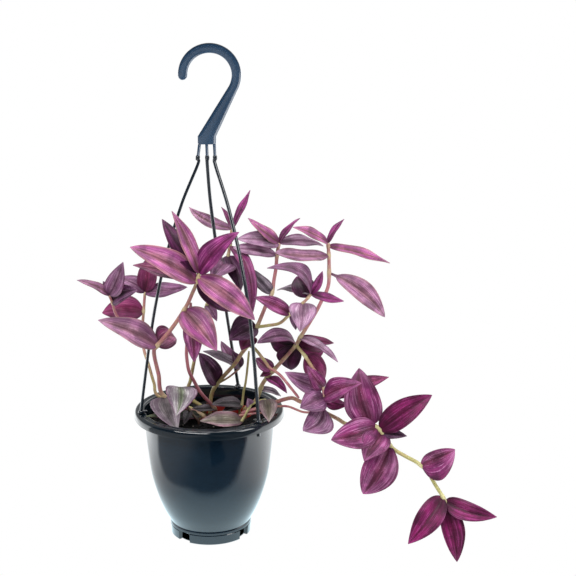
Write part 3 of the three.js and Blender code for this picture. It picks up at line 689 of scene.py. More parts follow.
@dataclass
class HangingPot:
    """The glossy round pot: a bellied wall, a wide flange with a rounded lip and a notched foot ring.

    wall_line is where the wall's line would go on above the lip. floor_reach and margin tell its inside, which is
    painted a darker, matt colour as shade, from the glossy rest: the radius of the floor, and how far inside the
    wall's outline a face has to lie.
    """

    wall: tuple[Pair, ...] = (
        (38.0, 13.0), (44.6, 26.0), (50.4, 42.0), (55.1, 60.0), (57.8, 81.0), (59.3, 97.0), (60.2, 112.0),
    )
    wall_line: Pair = (60.5, 130.0)
    wall_thickness: float = 2.0
    floor: float = 12.0
    floor_edge: float = 35.4
    floor_reach: float = 34.5
    margin: float = 1.0
    lip: tuple[Pair, ...] = (
        (60.5, 118.0), (60.7, 119.4), (61.4, 120.0), (66.8, 120.1), (67.6, 119.7), (67.9, 118.8), (68.0, 115.7),
        (68.3, 115.1), (69.0, 114.9), (69.6, 115.1), (69.9, 115.7), (70.0, 118.6), (69.9, 120.4), (69.4, 121.7),
        (68.5, 122.5), (67.3, 122.9), (66.1, 122.85), (65.0, 122.5), (64.1, 122.3), (63.0, 122.45), (62.2, 122.8),
        (61.4, 122.9), (60.6, 122.6), (60.1, 121.8), (59.9, 120.6),
    )
    lip_foot: float = 114.6
    under: tuple[Pair, ...] = ((0.0, 9.0), (37.4, 9.0), (38.2, 9.5), (38.4, 11.6), (38.2, 12.2))
    foot_ring: tuple[Pair, ...] = (
        (33.7, 9.1), (34.3, 0.5), (34.7, 0.0), (37.2, 0.0), (37.7, 0.5), (38.2, 8.6), (37.9, 9.1),
    )
    foot_middle: float = 36.3
    notches: tuple[float, ...] = (51.0, 149.0, 231.0, 329.0)
    notch_width: float = 13.0

    def smooth_wall(self, inset: float, steps: int = 30) -> list[Pair]:
        """Gives the wall's profile as close points, drawn in by an inset."""
        curve = Curve([Vector((radius - inset, height, 0.0)) for radius, height in self.wall])
        return [tuple(curve.at(i / steps)[:2]) for i in range(steps + 1)]

    def build(self, materials: Materials) -> Object:
        """Builds and dresses the pot."""
        work = Workpiece("pot_shell")
        inside = reversed(self.smooth_wall(self.wall_thickness))
        floor = ((self.floor_edge, self.floor), (0.0, self.floor))
        work.spin([*self.under, *self.smooth_wall(0.0), *self.lip, *inside, *floor])
        half = math.degrees(self.notch_width / 2 / self.foot_middle)
        for azimuth, following in zip(self.notches, (*self.notches[1:], self.notches[0] + 360.0)):
            work.spin(self.foot_ring, steps=24, start=azimuth + half, sweep=following - azimuth - 2 * half)
        # The inside and the underside get the darker, matt plastic: painted shade.
        work.paint(1, [face for face in work.mesh.faces if self.is_shaded_inside(face)])
        work.paint(2, [face for face in work.mesh.faces if face.calc_center_median().z > self.lip_foot])
        finishes = [materials.of(finish) for finish in (POT_GLOSS, POT_SHADED_INSIDE, POT_LIP)]
        return work.finish(finishes, "pot", "pot_gloss", sharp=32.0)

    def is_shaded_inside(self, face: BMFace) -> bool:
        """Tells whether a face belongs to the inside of the wall, its floor or its underside, which are painted darker
        as shade.
        """
        middle = face.calc_center_median()
        reach = middle.xy.length
        if middle.z < self.floor + self.margin:
            return reach < self.floor_reach
        wall = (*self.wall, self.wall_line)
        (low, start), (high, end) = next(pair for pair in zip(wall, wall[1:]) if pair[1][1] >= middle.z)
        return reach < between(low, high, (middle.z - start) / (end - start)) - self.margin


@dataclass
class Hook:
    """The moulded hook: a flat bent bar that widens to a block, with three leaning stubs for the arms.

    tip and shank are the angles in degrees between which it is bent. head is the x of the block's two sides,
    block how far below its top each cut of it lies and how large it is, and block_end the size of the last cut.
    tip_lift is the angle in degrees at which the rounding of the tip starts.
    """

    centre: Pair = (4.7, 431.2)
    outside: float = 28.0
    inside: float = 19.3
    tip: float = 180.0
    shank: float = -30.0
    half_thickness: float = 3.2
    head: Pair = (-6.9, 9.9)
    head_top: float = 377.0
    block: tuple[Pair, ...] = ((0.6, 1.0), (5.6, 1.0), (6.4, 0.97))
    block_end: float = 0.9
    stub_radius: float = 1.5
    tip_steps: int = 8
    tip_lift: float = 88.0
    bend_steps: int = 44
    neck_steps: int = 10

    def cut(self, inner: Vector, outer: Vector, heading: Vector, shrink: float = 1.0) -> Matrix:
        """Gives the station of the bar between a point on its inner and one on its outer edge."""
        thick = Vector((0.0, self.half_thickness * shrink, 0.0))
        return station((outer + inner) / 2, (outer - inner) / 2 * shrink, thick, heading)

    def edge(self, angle: float, radius: float) -> Vector:
        """Gives the point of the round part at an angle in radians and a radius."""
        return Vector((self.centre[0], 0.0, self.centre[1])) + Vector((math.cos(angle), 0.0, math.sin(angle))) * radius

    def across(self, angle: float, shrink: float = 1.0) -> Matrix:
        """Gives the station of the round part at an angle in radians."""
        heading = Vector((math.sin(angle), 0.0, -math.cos(angle)))
        return self.cut(self.edge(angle, self.inside), self.edge(angle, self.outside), heading, shrink)

    def stations(self) -> list[Matrix]:
        """Gives the stations of the bar, from its round tip to its block."""
        tip, shank = math.radians(self.tip), math.radians(self.shank)
        bulge = (self.outside - self.inside) / (self.inside + self.outside)
        made: list[Matrix] = []
        for i in range(self.tip_steps + 1):
            lift = math.radians(between(self.tip_lift, 0.0, i / self.tip_steps))
            made.append(self.across(tip + bulge * math.sin(lift), math.cos(lift)))
        made += [self.across(between(tip, shank, i / self.bend_steps)) for i in range(1, self.bend_steps + 1)]
        inner, outer = self.edge(shank, self.inside), self.edge(shank, self.outside)
        down = Vector((0.0, 0.0, -1.0))
        left, right = (Vector((side, 0.0, self.head_top)) for side in self.head)
        for i in range(1, self.neck_steps + 1):
            made.append(self.cut(inner.lerp(left, i / self.neck_steps), outer.lerp(right, i / self.neck_steps), down))
        for drop, shrink in (*self.block, (self.head_top - HEAD_BOTTOM, self.block_end)):
            made.append(self.cut(left + down * drop, right + down * drop, down, shrink))
        return made

    def build(self, materials: Materials, arms: Sequence["Arm"]) -> Object:
        """Builds and dresses the hook, with a stub for each arm."""
        work = Workpiece("moulded_hook")
        work.sweep(self.stations(), sides=40, squareness=0.5)
        for arm in arms:
            radii = (self.stub_radius, self.stub_radius)
            work.post(radii, arm.stub(STUB_END), arm.stub(HEAD_BOTTOM + OVERLAP), sides=20, bevel=0.25)
        return work.finish([materials.of(HANGER_SATIN)], "hook", "hanger")


@dataclass
class Arm:
    """One bowed arm: a thin rod with a collar on its stub, and a shoulder, a latch and a peg at the pot's rim.

    azimuth is where its foot stands on the rim. neck and end are the x of its stub at the hook's block and at
    the stub's end, bow is how far the rod bows out, and lead below 1 moves the bow up. A row of collar holds the
    radii, the low and the high end and the rounding of one of its posts.
    """

    name: str
    azimuth: float
    neck: float
    end: float
    bow: float
    lead: float
    radius: float = 1.6
    flatness: float = 0.86
    start: float = 356.5
    collar: tuple[tuple[Pair, float, float, float], ...] = (
        ((1.7, 2.1), 355.5, 357.0, 0.3), ((2.1, 2.1), 357.0, 359.2, 0.4), ((1.85, 1.7), 359.2, 360.0, 0.2),
    )
    top: float = 352.0
    foot_circle: float = 64.3
    foot: float = 127.0
    bends: int = 7
    steps: int = 64
    shoulder: Pair = (3.2, 2.6)
    shoulder_height: float = 2.2
    seat: float = POT_RIM + 0.3
    peg: Pair = (1.7, 1.7)
    peg_end: float = 110.0
    latch: Point = (4.6, 3.0, 1.8)
    latch_shift: float = -3.4

    def stub(self, height: float) -> Vector:
        """Gives the middle of the arm's leaning stub at a height."""
        return Vector((between(self.end, self.neck, (height - STUB_END) / (HEAD_BOTTOM - STUB_END)), 0.0, height))

    def path(self) -> Curve:
        """Gives the rod's middle line from its collar to the pot's rim."""
        head, foot = Vector((self.end, 0.0)), Vector(polar(self.azimuth, self.foot_circle))
        out = (foot - head).normalized()
        points = [self.stub(self.start)]
        for i in range(self.bends + 1):
            down = i / self.bends
            spot = head.lerp(foot, down) + out * self.bow * math.sin(math.pi * down ** self.lead)
            points.append(Vector((spot.x, spot.y, between(self.top, self.foot, down))))
        return Curve([*points, Vector((foot.x, foot.y, POT_RIM + OVERLAP))])

    def build(self, materials: Materials) -> Object:
        """Builds and dresses the arm."""
        work = Workpiece(f"{self.name}_rod")
        path = self.path()
        out = Vector((*polar(self.azimuth, 1.0), 0.0))
        stations = []
        for i in range(self.steps + 1):
            heading = path.heading(i / self.steps)
            side = heading.cross(out).normalized()
            flat = side.cross(heading).normalized() * self.radius * self.flatness
            stations.append(station(path.at(i / self.steps), side * self.radius, flat, heading))
        work.sweep(stations, sides=16, squareness=0.75)
        for radii, low, high, bevel in self.collar:
            work.post(radii, self.stub(low), self.stub(high), sides=24, bevel=bevel)
        x, y = polar(self.azimuth, self.foot_circle)
        work.post(self.shoulder, (x, y, self.seat), (x, y, self.seat + self.shoulder_height), sides=28, bevel=0.6)
        middle = Vector((x, y, self.seat + OVERLAP))
        work.post(self.peg, (x, y, self.peg_end), middle, sides=16, bevel=0.3)
        turn = Matrix.Rotation(math.radians(self.azimuth), 4, "Z")
        latch = Matrix.Translation(middle) @ turn @ Matrix.Translation((self.latch_shift, 0.0, 0.0))
        work.block(self.latch, latch, bevel=0.5)
        return work.finish([materials.of(ARM_GLOSS)], self.name, "hanger")


@dataclass
class NurseryPot:
    """The thin red nursery pot with a rolled rim."""

    centre: Pair = (10.5, 8.0)
    top: float = 114.6
    radius: float = 30.0
    foot_radius: float = 21.0
    foot: float = 12.3
    roll: float = 8.5

    def build(self, materials: Materials) -> Object:
        """Builds and dresses the nursery pot."""
        work = Workpiece("nursery_shell")
        r, top, low = self.radius, self.top, self.top - self.roll
        profile = [
            (0.0, self.foot), (self.foot_radius - 1.0, self.foot), (self.foot_radius, self.foot + 1.0),
            (r - 2.0, low - 0.5), (r - 0.4, low - 0.2), (r, low + 0.3), (r, top - 0.7), (r - 0.3, top - 0.15),
            (r - 0.8, top), (r - 1.3, top - 0.15), (r - 1.6, top - 0.7), (r - 2.3, top - 5.0),
            (r - 3.0, low - 0.5), (self.foot_radius - 1.4, self.foot + 2.0), (0.0, self.foot + 2.0),
        ]
        work.spin(profile, centre=self.centre)
        return work.finish([materials.of(NURSERY_MATT)], "nursery_pot", "nursery")


@dataclass(frozen=True)
class CrumbShape:
    """The ranges from which a crumb's sizes are drawn, in millimetres, radians and shares of its size."""

    size: Pair = (0.5, 1.3)
    turn: Pair = (0.0, 6.28)
    tilt: Pair = (-0.6, 0.6)
    length: Pair = (0.9, 1.9)
    height: Pair = (0.4, 0.8)
    lift: float = 0.15


@dataclass
class Soil:
    """The crumbly soil in the nursery pot, with bark, light grains and a few green bits on it.

    A row of waves holds the layer, the fineness and the height of one noise in the surface. mixture holds the
    shares of dark crumbs, bark, grains and green bits, bulk how large each kind is, and spread how far they reach.
    """

    centre: Pair = (10.5, 8.0)
    top: float = 107.0
    crown: float = 1.5
    sunk: float = 0.8
    radius: float = 26.6
    foot_radius: float = 19.3
    floor: float = 14.6
    waves: tuple[Point, ...] = ((3.0, 0.16, 1.1), (9.0, 0.5, 0.45))
    rings: int = 16
    steps: int = 72
    spread: float = 0.94
    crumbs: int = 300
    shape: CrumbShape = CrumbShape()
    mixture: tuple[float, ...] = (0.62, 0.29, 0.06, 0.03)
    bulk: tuple[float, ...] = (1.0, 1.2, 0.8, 1.0)
    seed: int = 11
    dark: SoilFinish = SoilFinish("soil_dark", 0x080706, 0x1E1814)
    bark: SoilFinish = SoilFinish("soil_bark", 0x2A1C14, 0x62442E)
    grain: SoilFinish = SoilFinish("soil_grain", 0x827A6C, 0xC8C2B4)
    moss: SoilFinish = SoilFinish("soil_moss", 0x608228, 0x96B846)

    def lumps(self, x: float, y: float) -> float:
        """Gives how far the crumbly surface rises and falls at a point."""
        return sum(noise.noise(Vector((x, y, layer)) * fine) * height for layer, fine, height in self.waves)

    def off_centre(self, x: float, y: float) -> float:
        """Gives how far a point lies from the nursery pot's axis."""
        return math.hypot(x - self.centre[0], y - self.centre[1])

    def level(self, x: float, y: float) -> float:
        """Gives the height of the soil's surface at a point."""
        reach = min(self.off_centre(x, y) / self.radius, 1.0)
        return self.top + self.crown * (1.0 - reach ** 2) + self.lumps(x, y) * (1.0 - reach ** 6) - self.sunk

    def build(self, materials: Materials) -> Object:
        """Builds and dresses the soil."""
        work = Workpiece("potted_soil")
        top = [(self.radius * (1.0 - i / self.rings), self.top) for i in range(1, self.rings + 1)]
        foot = [(0.0, self.floor), (self.foot_radius, self.floor)]
        wall = [(self.radius - 0.6, self.top - 2.5), (self.radius - 0.5, self.top - 1.0)]
        work.spin([*foot, *wall, *top], centre=self.centre, steps=self.steps)
        for vert in work.mesh.verts:
            if vert.co.z > self.top - 0.5:
                vert.co.z = self.level(vert.co.x, vert.co.y)
        self.scatter(work, self.centre, self.radius * self.spread, 0.0)
        return work.finish(self.finishes(materials), "soil", "soil", sharp=60.0)

    def finishes(self, materials: Materials) -> list[Material]:
        """Gives the materials of the soil and of the bits in it."""
        return [materials.of(finish) for finish in (self.dark, self.bark, self.grain, self.moss)]

    def scatter(self, work: Workpiece, middle: Pair, radius: float, bare: float) -> None:
        """Drops the crumbs.

        Args:
            work: The piece in the making.
            middle: The middle of the surface.
            radius: How far from there a crumb may fall.
            bare: How far from the nursery pot's axis it has to fall.
        """
        chance = Random(self.seed)
        dropped = 0
        while dropped < self.crumbs:
            dx, dy = polar(chance.uniform(0.0, 360.0), radius * math.sqrt(chance.random()))
            x, y = middle[0] + dx, middle[1] + dy
            if self.off_centre(x, y) >= bare:
                self.crumb(work, chance, x, y)
                dropped += 1

    def crumb(self, work: Workpiece, chance: Random, x: float, y: float) -> None:
        """Drops one crumb of a random kind and size on the surface at a point."""
        kind = chance.choices((0, 1, 2, 3), self.mixture)[0]
        size = chance.uniform(*self.shape.size) * self.bulk[kind]
        turn = Matrix.Rotation(chance.uniform(*self.shape.turn), 4, "Z")
        tilt = Matrix.Rotation(chance.uniform(*self.shape.tilt), 4, "X")
        length, height = size * chance.uniform(*self.shape.length), size * chance.uniform(*self.shape.height)
        spot = Matrix.Translation((x, y, self.level(x, y) + size * self.shape.lift))
        matrix = spot @ turn @ tilt @ Matrix.Diagonal((length, size, height, 1.0))
        made = bmesh.ops.create_icosphere(work.mesh, subdivisions=1, radius=1.0, matrix=matrix)["verts"]
        work.paint(kind, {face for vert in made for face in vert.link_faces})


@dataclass
class SoilBed(Soil):
    """The soil that fills the hanging pot around the nursery pot. Its near-black colours, darker than the nursery
    pot's soil, are partly its own and partly painted shade.

    It falls from crest, at the reach brow from the pot's axis, to edge at the wall, by the power slope. heap is
    how much higher it lies at the nursery pot, over a way of heap_reach, from heap_back behind that pot's axis over
    a way of heap_rise. calm is the share of the lumps that it has. It reaches the nursery pot's ring in its top
    part, as high as collar. waist is the height of a point between, and bare how far from the ring crumbs lie.
    """

    floor: float = 12.3
    edge: float = 105.5
    crest: float = 112.5
    brow: float = 46.0
    slope: float = 1.5
    sunk: float = 0.6
    calm: float = 0.5
    inner_radii: Pair = (21.35, 28.4)
    ring_radius: float = 30.4
    collar: float = 1.5
    waist: float = 60.0
    bare: float = 1.4
    outer_wall: tuple[Pair, ...] = (
        (35.3, 12.3), (42.1, 26.0), (47.9, 42.0), (52.6, 60.0), (55.3, 81.0), (56.8, 97.0), (57.0, 105.5),
    )
    rings: int = 12
    steps: int = 96
    spread: float = 0.96
    crumbs: int = 460
    mixture: tuple[float, ...] = (0.84, 0.15, 0.01, 0.0)
    seed: int = 23
    heap: float = 3.4
    heap_reach: float = 9.0
    heap_back: float = 4.0
    heap_rise: float = 12.0
    # Near-black crumbs, darker than the nursery pot's soil: partly painted shade.
    dark: SoilFinish = SoilFinish("bed_dark", 0x030304, 0x0A0909)
    bark: SoilFinish = SoilFinish("bed_bark", 0x0A0807, 0x221A15)

    def level(self, x: float, y: float) -> float:
        """Gives the height of the bed's surface at a point: it is heaped up at the nursery pot's front."""
        fall = clamp((math.hypot(x, y) - self.brow) / (self.outer_wall[-1][0] - self.brow))
        near = clamp(1.0 - (self.off_centre(x, y) - self.ring_radius) / self.heap_reach)
        before = clamp((self.centre[1] + self.heap_back - y) / self.heap_rise)
        bed = between(self.crest, self.edge, fall ** self.slope) + self.lumps(x, y) * self.calm - self.sunk
        return bed + self.heap * near * before

    def between_walls(self, share: float, azimuth: float, height: float) -> Vector:
        """Finds a point between the nursery pot, at share 0, and the hanging pot's wall, at share 1."""
        wall = self.outer_wall
        step = next((i for i in range(1, len(wall)) if height <= wall[i][1] + 1e-6), len(wall) - 1)
        (low, z_low), (high, z_high) = wall[step - 1], wall[step]
        outer = Vector(polar(azimuth, between(low, high, (height - z_low) / (z_high - z_low))))
        below = between(*self.inner_radii, min(height / self.top, 1.0))
        reach = below if height < self.top - self.collar else self.ring_radius
        inner = Vector(self.centre) + Vector(polar(azimuth, reach))
        return Vector((*inner.lerp(outer, share), height))

    def build(self, materials: Materials) -> Object:
        """Builds and dresses the bed: a ring that is turned as unit shares, then drawn out between the walls."""
        work = Workpiece("hanging_pot_soil")
        base = 10.0
        sides = [(1.0, height) for _, height in self.outer_wall]
        top = [(1.0 - i / self.rings, self.edge) for i in range(1, self.rings + 1)]
        back = [(0.0, self.top - 2.0), (0.0, self.waist), (0.0, self.floor)]
        profile = [(base + share, height) for share, height in [(0.0, self.floor), *sides, *top, *back]]
        work.spin(profile, steps=self.steps)
        for vert in work.mesh.verts:
            share = vert.co.xy.length - base
            azimuth = math.degrees(math.atan2(vert.co.y, vert.co.x))
            on_top = abs(vert.co.z - self.edge) < CLOSE and share < 0.999
            height = self.top if on_top and share < 0.01 else vert.co.z
            vert.co = self.between_walls(share, azimuth, height)
            if on_top:
                vert.co.z = self.level(vert.co.x, vert.co.y)
        self.scatter(work, (0.0, 0.0), self.outer_wall[-1][0] * self.spread, self.ring_radius + self.bare)
        return work.finish(self.finishes(materials), "soil_bed", "soil", sharp=60.0)


@dataclass(frozen=True)
class Leaf:
    """One leaf: where it grows, where its tip is seen and how its blade is shaped.

    at is a station of the stem's route, tip a spot in the view, wide in millimetres and turn the roll of its
    face in degrees away from the viewer. arch, belly, sway and stalk are shares of its length: how high its rib
    bows, where it is widest, how far the rib bends sideways and where the blade begins. skew is how much wider
    one half is than the mean.
    """

    at: float
    tip: Point
    wide: float
    turn: float
    tone: Tone
    arch: float = 0.09
    belly: float = 0.37
    sway: float = 0.0
    skew: float = 0.0
    stalk: float = 0.0


@dataclass(frozen=True)
class Growth:
    """A stem or a shoot: its girth, how pink it is at its two ends, its route in the view and what grows on it."""

    girth: float
    blush: Pair
    route: tuple[Point, ...]
    leaves: tuple[Leaf, ...]
    at: float = 0.0
    shoots: tuple["Growth", ...] = ()


@dataclass(frozen=True)
class BladeShape:
    """What all blades share: sizes in millimetres, the fold in degrees, and powers and shares.

    stalk and point are half the width at the two ends. Stations are crowded towards both ends, curl is how much
    the halves bend back at the margin, and waves is how fast the ripple runs along and across.
    """

    thickness: float = 0.55
    stalk: float = 1.3
    point: float = 0.16
    fold: float = 16.0
    curl: float = 0.45
    curl_power: float = 0.9
    taper: float = 1.45
    ripple: float = 0.02
    waves: Pair = (9.0, 1.3)
    crowding: float = 0.45
    stations: int = 26
    columns: int = 10


@dataclass(frozen=True)
class StemShape:
    """What all stems share: the sizes in millimetres of a step and of a joint, and how they taper and swell.

    least is the lowest number of steps. paleness is how pale a joint is, and rosiness how much less a pink one
    is. knobs and fineness are the height and the fineness of the skin's unevenness.
    """

    step: float = 1.9
    least: int = 8
    joint: float = 2.6
    pale_joint: float = 7.0
    taper: float = 0.18
    girth: float = 1.02
    swell: float = 0.26
    paleness: float = 0.85
    rosiness: float = 0.45
    knobs: float = 0.04
    fineness: float = 0.2
    blunt: float = 0.6
    sides: int = 12


@dataclass
class LeafyStem:
    """One stem of the plant with its shoots and leaves, rooted in the soil.

    foot holds the heights over the soil of the upright stretch that its route follows. tones holds the kinds of
    leaf that it bears, in the order of the piece's material slots after the stem's skin.
    """

    name: str
    slot: str
    root: Pair
    growth: Growth
    soil_top: float = 107.0
    foot: tuple[float, ...] = (-8.0, -1.0, 4.0, 9.0)
    skin: StemFinish = StemFinish()
    shape: BladeShape = BladeShape()
    stem: StemShape = StemShape()
    tones: list[Tone] = field(default_factory=list)
    chance: Random = field(init=False)

    def __post_init__(self) -> None:
        """Seeds the stem's own random numbers."""
        self.chance = Random(self.name)

    def build(self, materials: Materials) -> Object:
        """Builds and dresses the stem."""
        work = Workpiece(f"{self.name}_growth")
        for layer in ("blade", "growth"):
            work.mesh.verts.layers.float_vector.new(layer)
        self.grow(work, self.growth, [Vector((*self.root, self.soil_top + rise)) for rise in self.foot])
        skins = [materials.of(self.skin)] + [materials.leaf(tone) for tone in self.tones]
        return work.finish(skins, self.name, self.slot, sharp=50.0, outward=False)

    def index_of(self, tone: Tone) -> int:
        """Gives the material slot of a tone on this piece."""
        if tone not in self.tones:
            self.tones.append(tone)
        return self.tones.index(tone) + 1

    def grow(self, work: Workpiece, growth: Growth, start: list[Vector]) -> None:
        """Builds a stem or a shoot, then what grows on it.

        Args:
            work: The piece in the making.
            growth: The stem or the shoot.
            start: The points before its route, in millimetres.
        """
        curve = Curve([*start, *(VIEW.seen(spot) for spot in growth.route)])

        def share_of(item: Union[Leaf, Growth]) -> float:
            """Gives the share of the way at which a leaf or a shoot grows."""
            return (item.at + len(start)) / (len(curve.points) - 1)

        self.strand(work, curve, growth, {share_of(item) for item in (*growth.leaves, *growth.shoots)})
        for leaf in growth.leaves:
            self.blade(work, leaf, curve.at(share_of(leaf)))
        for shoot in growth.shoots:
            self.grow(work, shoot, [curve.at(share_of(shoot))])

    def strand(self, work: Workpiece, curve: Curve, growth: Growth, joints: Iterable[float]) -> None:
        """Draws out the stem along its curve, thicker and paler at its joints.

        Args:
            work: The piece in the making.
            curve: The stem's middle line.
            growth: The stem's girth and colour.
            joints: The share of the way at which each joint lies.
        """
        length = curve.length()
        count = max(self.stem.least, round(length / self.stem.step))
        stations, marks = [], []
        side = Vector((0.0, 1.0, 0.0))
        seed = self.chance.random()
        for i in range(count + 1):
            share = i / count
            heading = curve.heading(share)
            side = (side - heading * side.dot(heading)).normalized()
            near, beyond = (
                max((math.exp(-((share - joint) * length / reach) ** 2) for joint in joints), default=0.0)
                for reach in (self.stem.joint, self.stem.pale_joint)
            )
            radius = growth.girth / 2 * (1.0 - self.stem.taper * share) * (self.stem.girth + self.stem.swell * near)
            spot = Vector((share * length * self.stem.fineness, seed * 9.0, 0.0))
            radius *= 1.0 + self.stem.knobs * noise.noise(spot)
            if i == count:
                radius *= self.stem.blunt
            stations.append(station(curve.at(share), side * radius, heading.cross(side) * radius, heading))
            blush = between(*growth.blush, share)
            marks.append((self.stem.paleness * beyond * (1.0 - self.stem.rosiness * blush), blush, seed))
        before = set(work.mesh.faces)
        work.sweep(stations, sides=self.stem.sides, marks=("growth", marks))
        bmesh.ops.recalc_face_normals(work.mesh, faces=[face for face in work.mesh.faces if face not in before])

    def half_width(self, leaf: Leaf, along: float) -> float:
        """Gives half the width of a blade at a share of its length."""
        grown = max(0.0, (along - leaf.stalk) / (1.0 - leaf.stalk))
        rise, fall = self.shape.taper * leaf.belly, self.shape.taper * (1.0 - leaf.belly)
        outline = (grown / leaf.belly) ** rise * ((1.0 - grown) / (1.0 - leaf.belly)) ** fall
        return max(between(self.shape.stalk, self.shape.point, along), leaf.wide / 2 * outline)

    def blade(self, work: Workpiece, leaf: Leaf, base: Vector) -> None:
        """Builds a blade as a grid that is laid along its rib, folded, bowed and thickened.

        Args:
            work: The piece in the making.
            leaf: The leaf.
            base: Where it grows, in millimetres.
        """
        shape = self.shape
        along = VIEW.seen(leaf.tip) - base
        length = along.length
        along.normalize()
        to_eye = Vector(VIEW.eye) - base
        facing = (to_eye - along * to_eye.dot(along)).normalized()
        skyward = along.cross(facing)
        if skyward.z < 0.0:
            skyward.negate()
        roll, fold = math.radians(leaf.turn), math.radians(shape.fold)
        normal = facing * math.cos(roll) + skyward * math.sin(roll)
        side = along.cross(normal)
        seed = self.chance.random() * 10.0
        before = set(work.mesh.faces)
        grid = bmesh.ops.create_grid(work.mesh, x_segments=shape.stations, y_segments=shape.columns, size=1.0)
        layer = work.mesh.verts.layers.float_vector["blade"]
        for vert in grid["verts"]:
            share, across = (vert.co.x + 1.0) / 2, vert.co.y
            share = (1.0 - shape.crowding) * share + shape.crowding * (3.0 * share ** 2 - 2.0 * share ** 3)
            vert[layer] = (share, across, seed)
            half = self.half_width(leaf, share)
            hill = 4.0 * share * (1.0 - share)
            bend = (1.0 + shape.curl) * abs(across) ** shape.curl_power - shape.curl * across ** 2
            phase = share * shape.waves[0] + seed * 5.0 + across * shape.waves[1]
            wave = shape.ripple * length * across ** 2 * math.sin(phase) * hill
            vert.co = (
                base + along * length * share
                + side * (across * half * (1.0 + across * leaf.skew) * math.cos(fold) + leaf.sway * length * hill)
                + normal * (leaf.arch * length * hill + half * math.sin(fold) * bend + wave)
            )
        faces = [face for face in work.mesh.faces if face not in before]
        bmesh.ops.reverse_faces(work.mesh, faces=faces)
        work.mesh.normal_update()
        bmesh.ops.solidify(work.mesh, geom=faces, thickness=shape.thickness)
        shell = [face for face in work.mesh.faces if face not in before]
        if volume_of(shell, base) < 0.0:
            bmesh.ops.reverse_faces(work.mesh, faces=shell)
        work.mesh.normal_update()
        top, under = self.index_of(leaf.tone), self.index_of(Tone.UNDER)
        for face in shell:
            face.material_index = top if face.normal.dot(normal) > 0.0 else under


def volume_of(shell: Iterable[BMFace], near: Vector) -> float:
    """Gives the volume inside closed faces, which is negative if they face inwards."""
    total = 0.0
    for face in shell:
        first, *rest = [vert.co - near for vert in face.verts]
        total += sum(first.dot(one.cross(two)) for one, two in zip(rest, rest[1:]))
    return total / 6.0


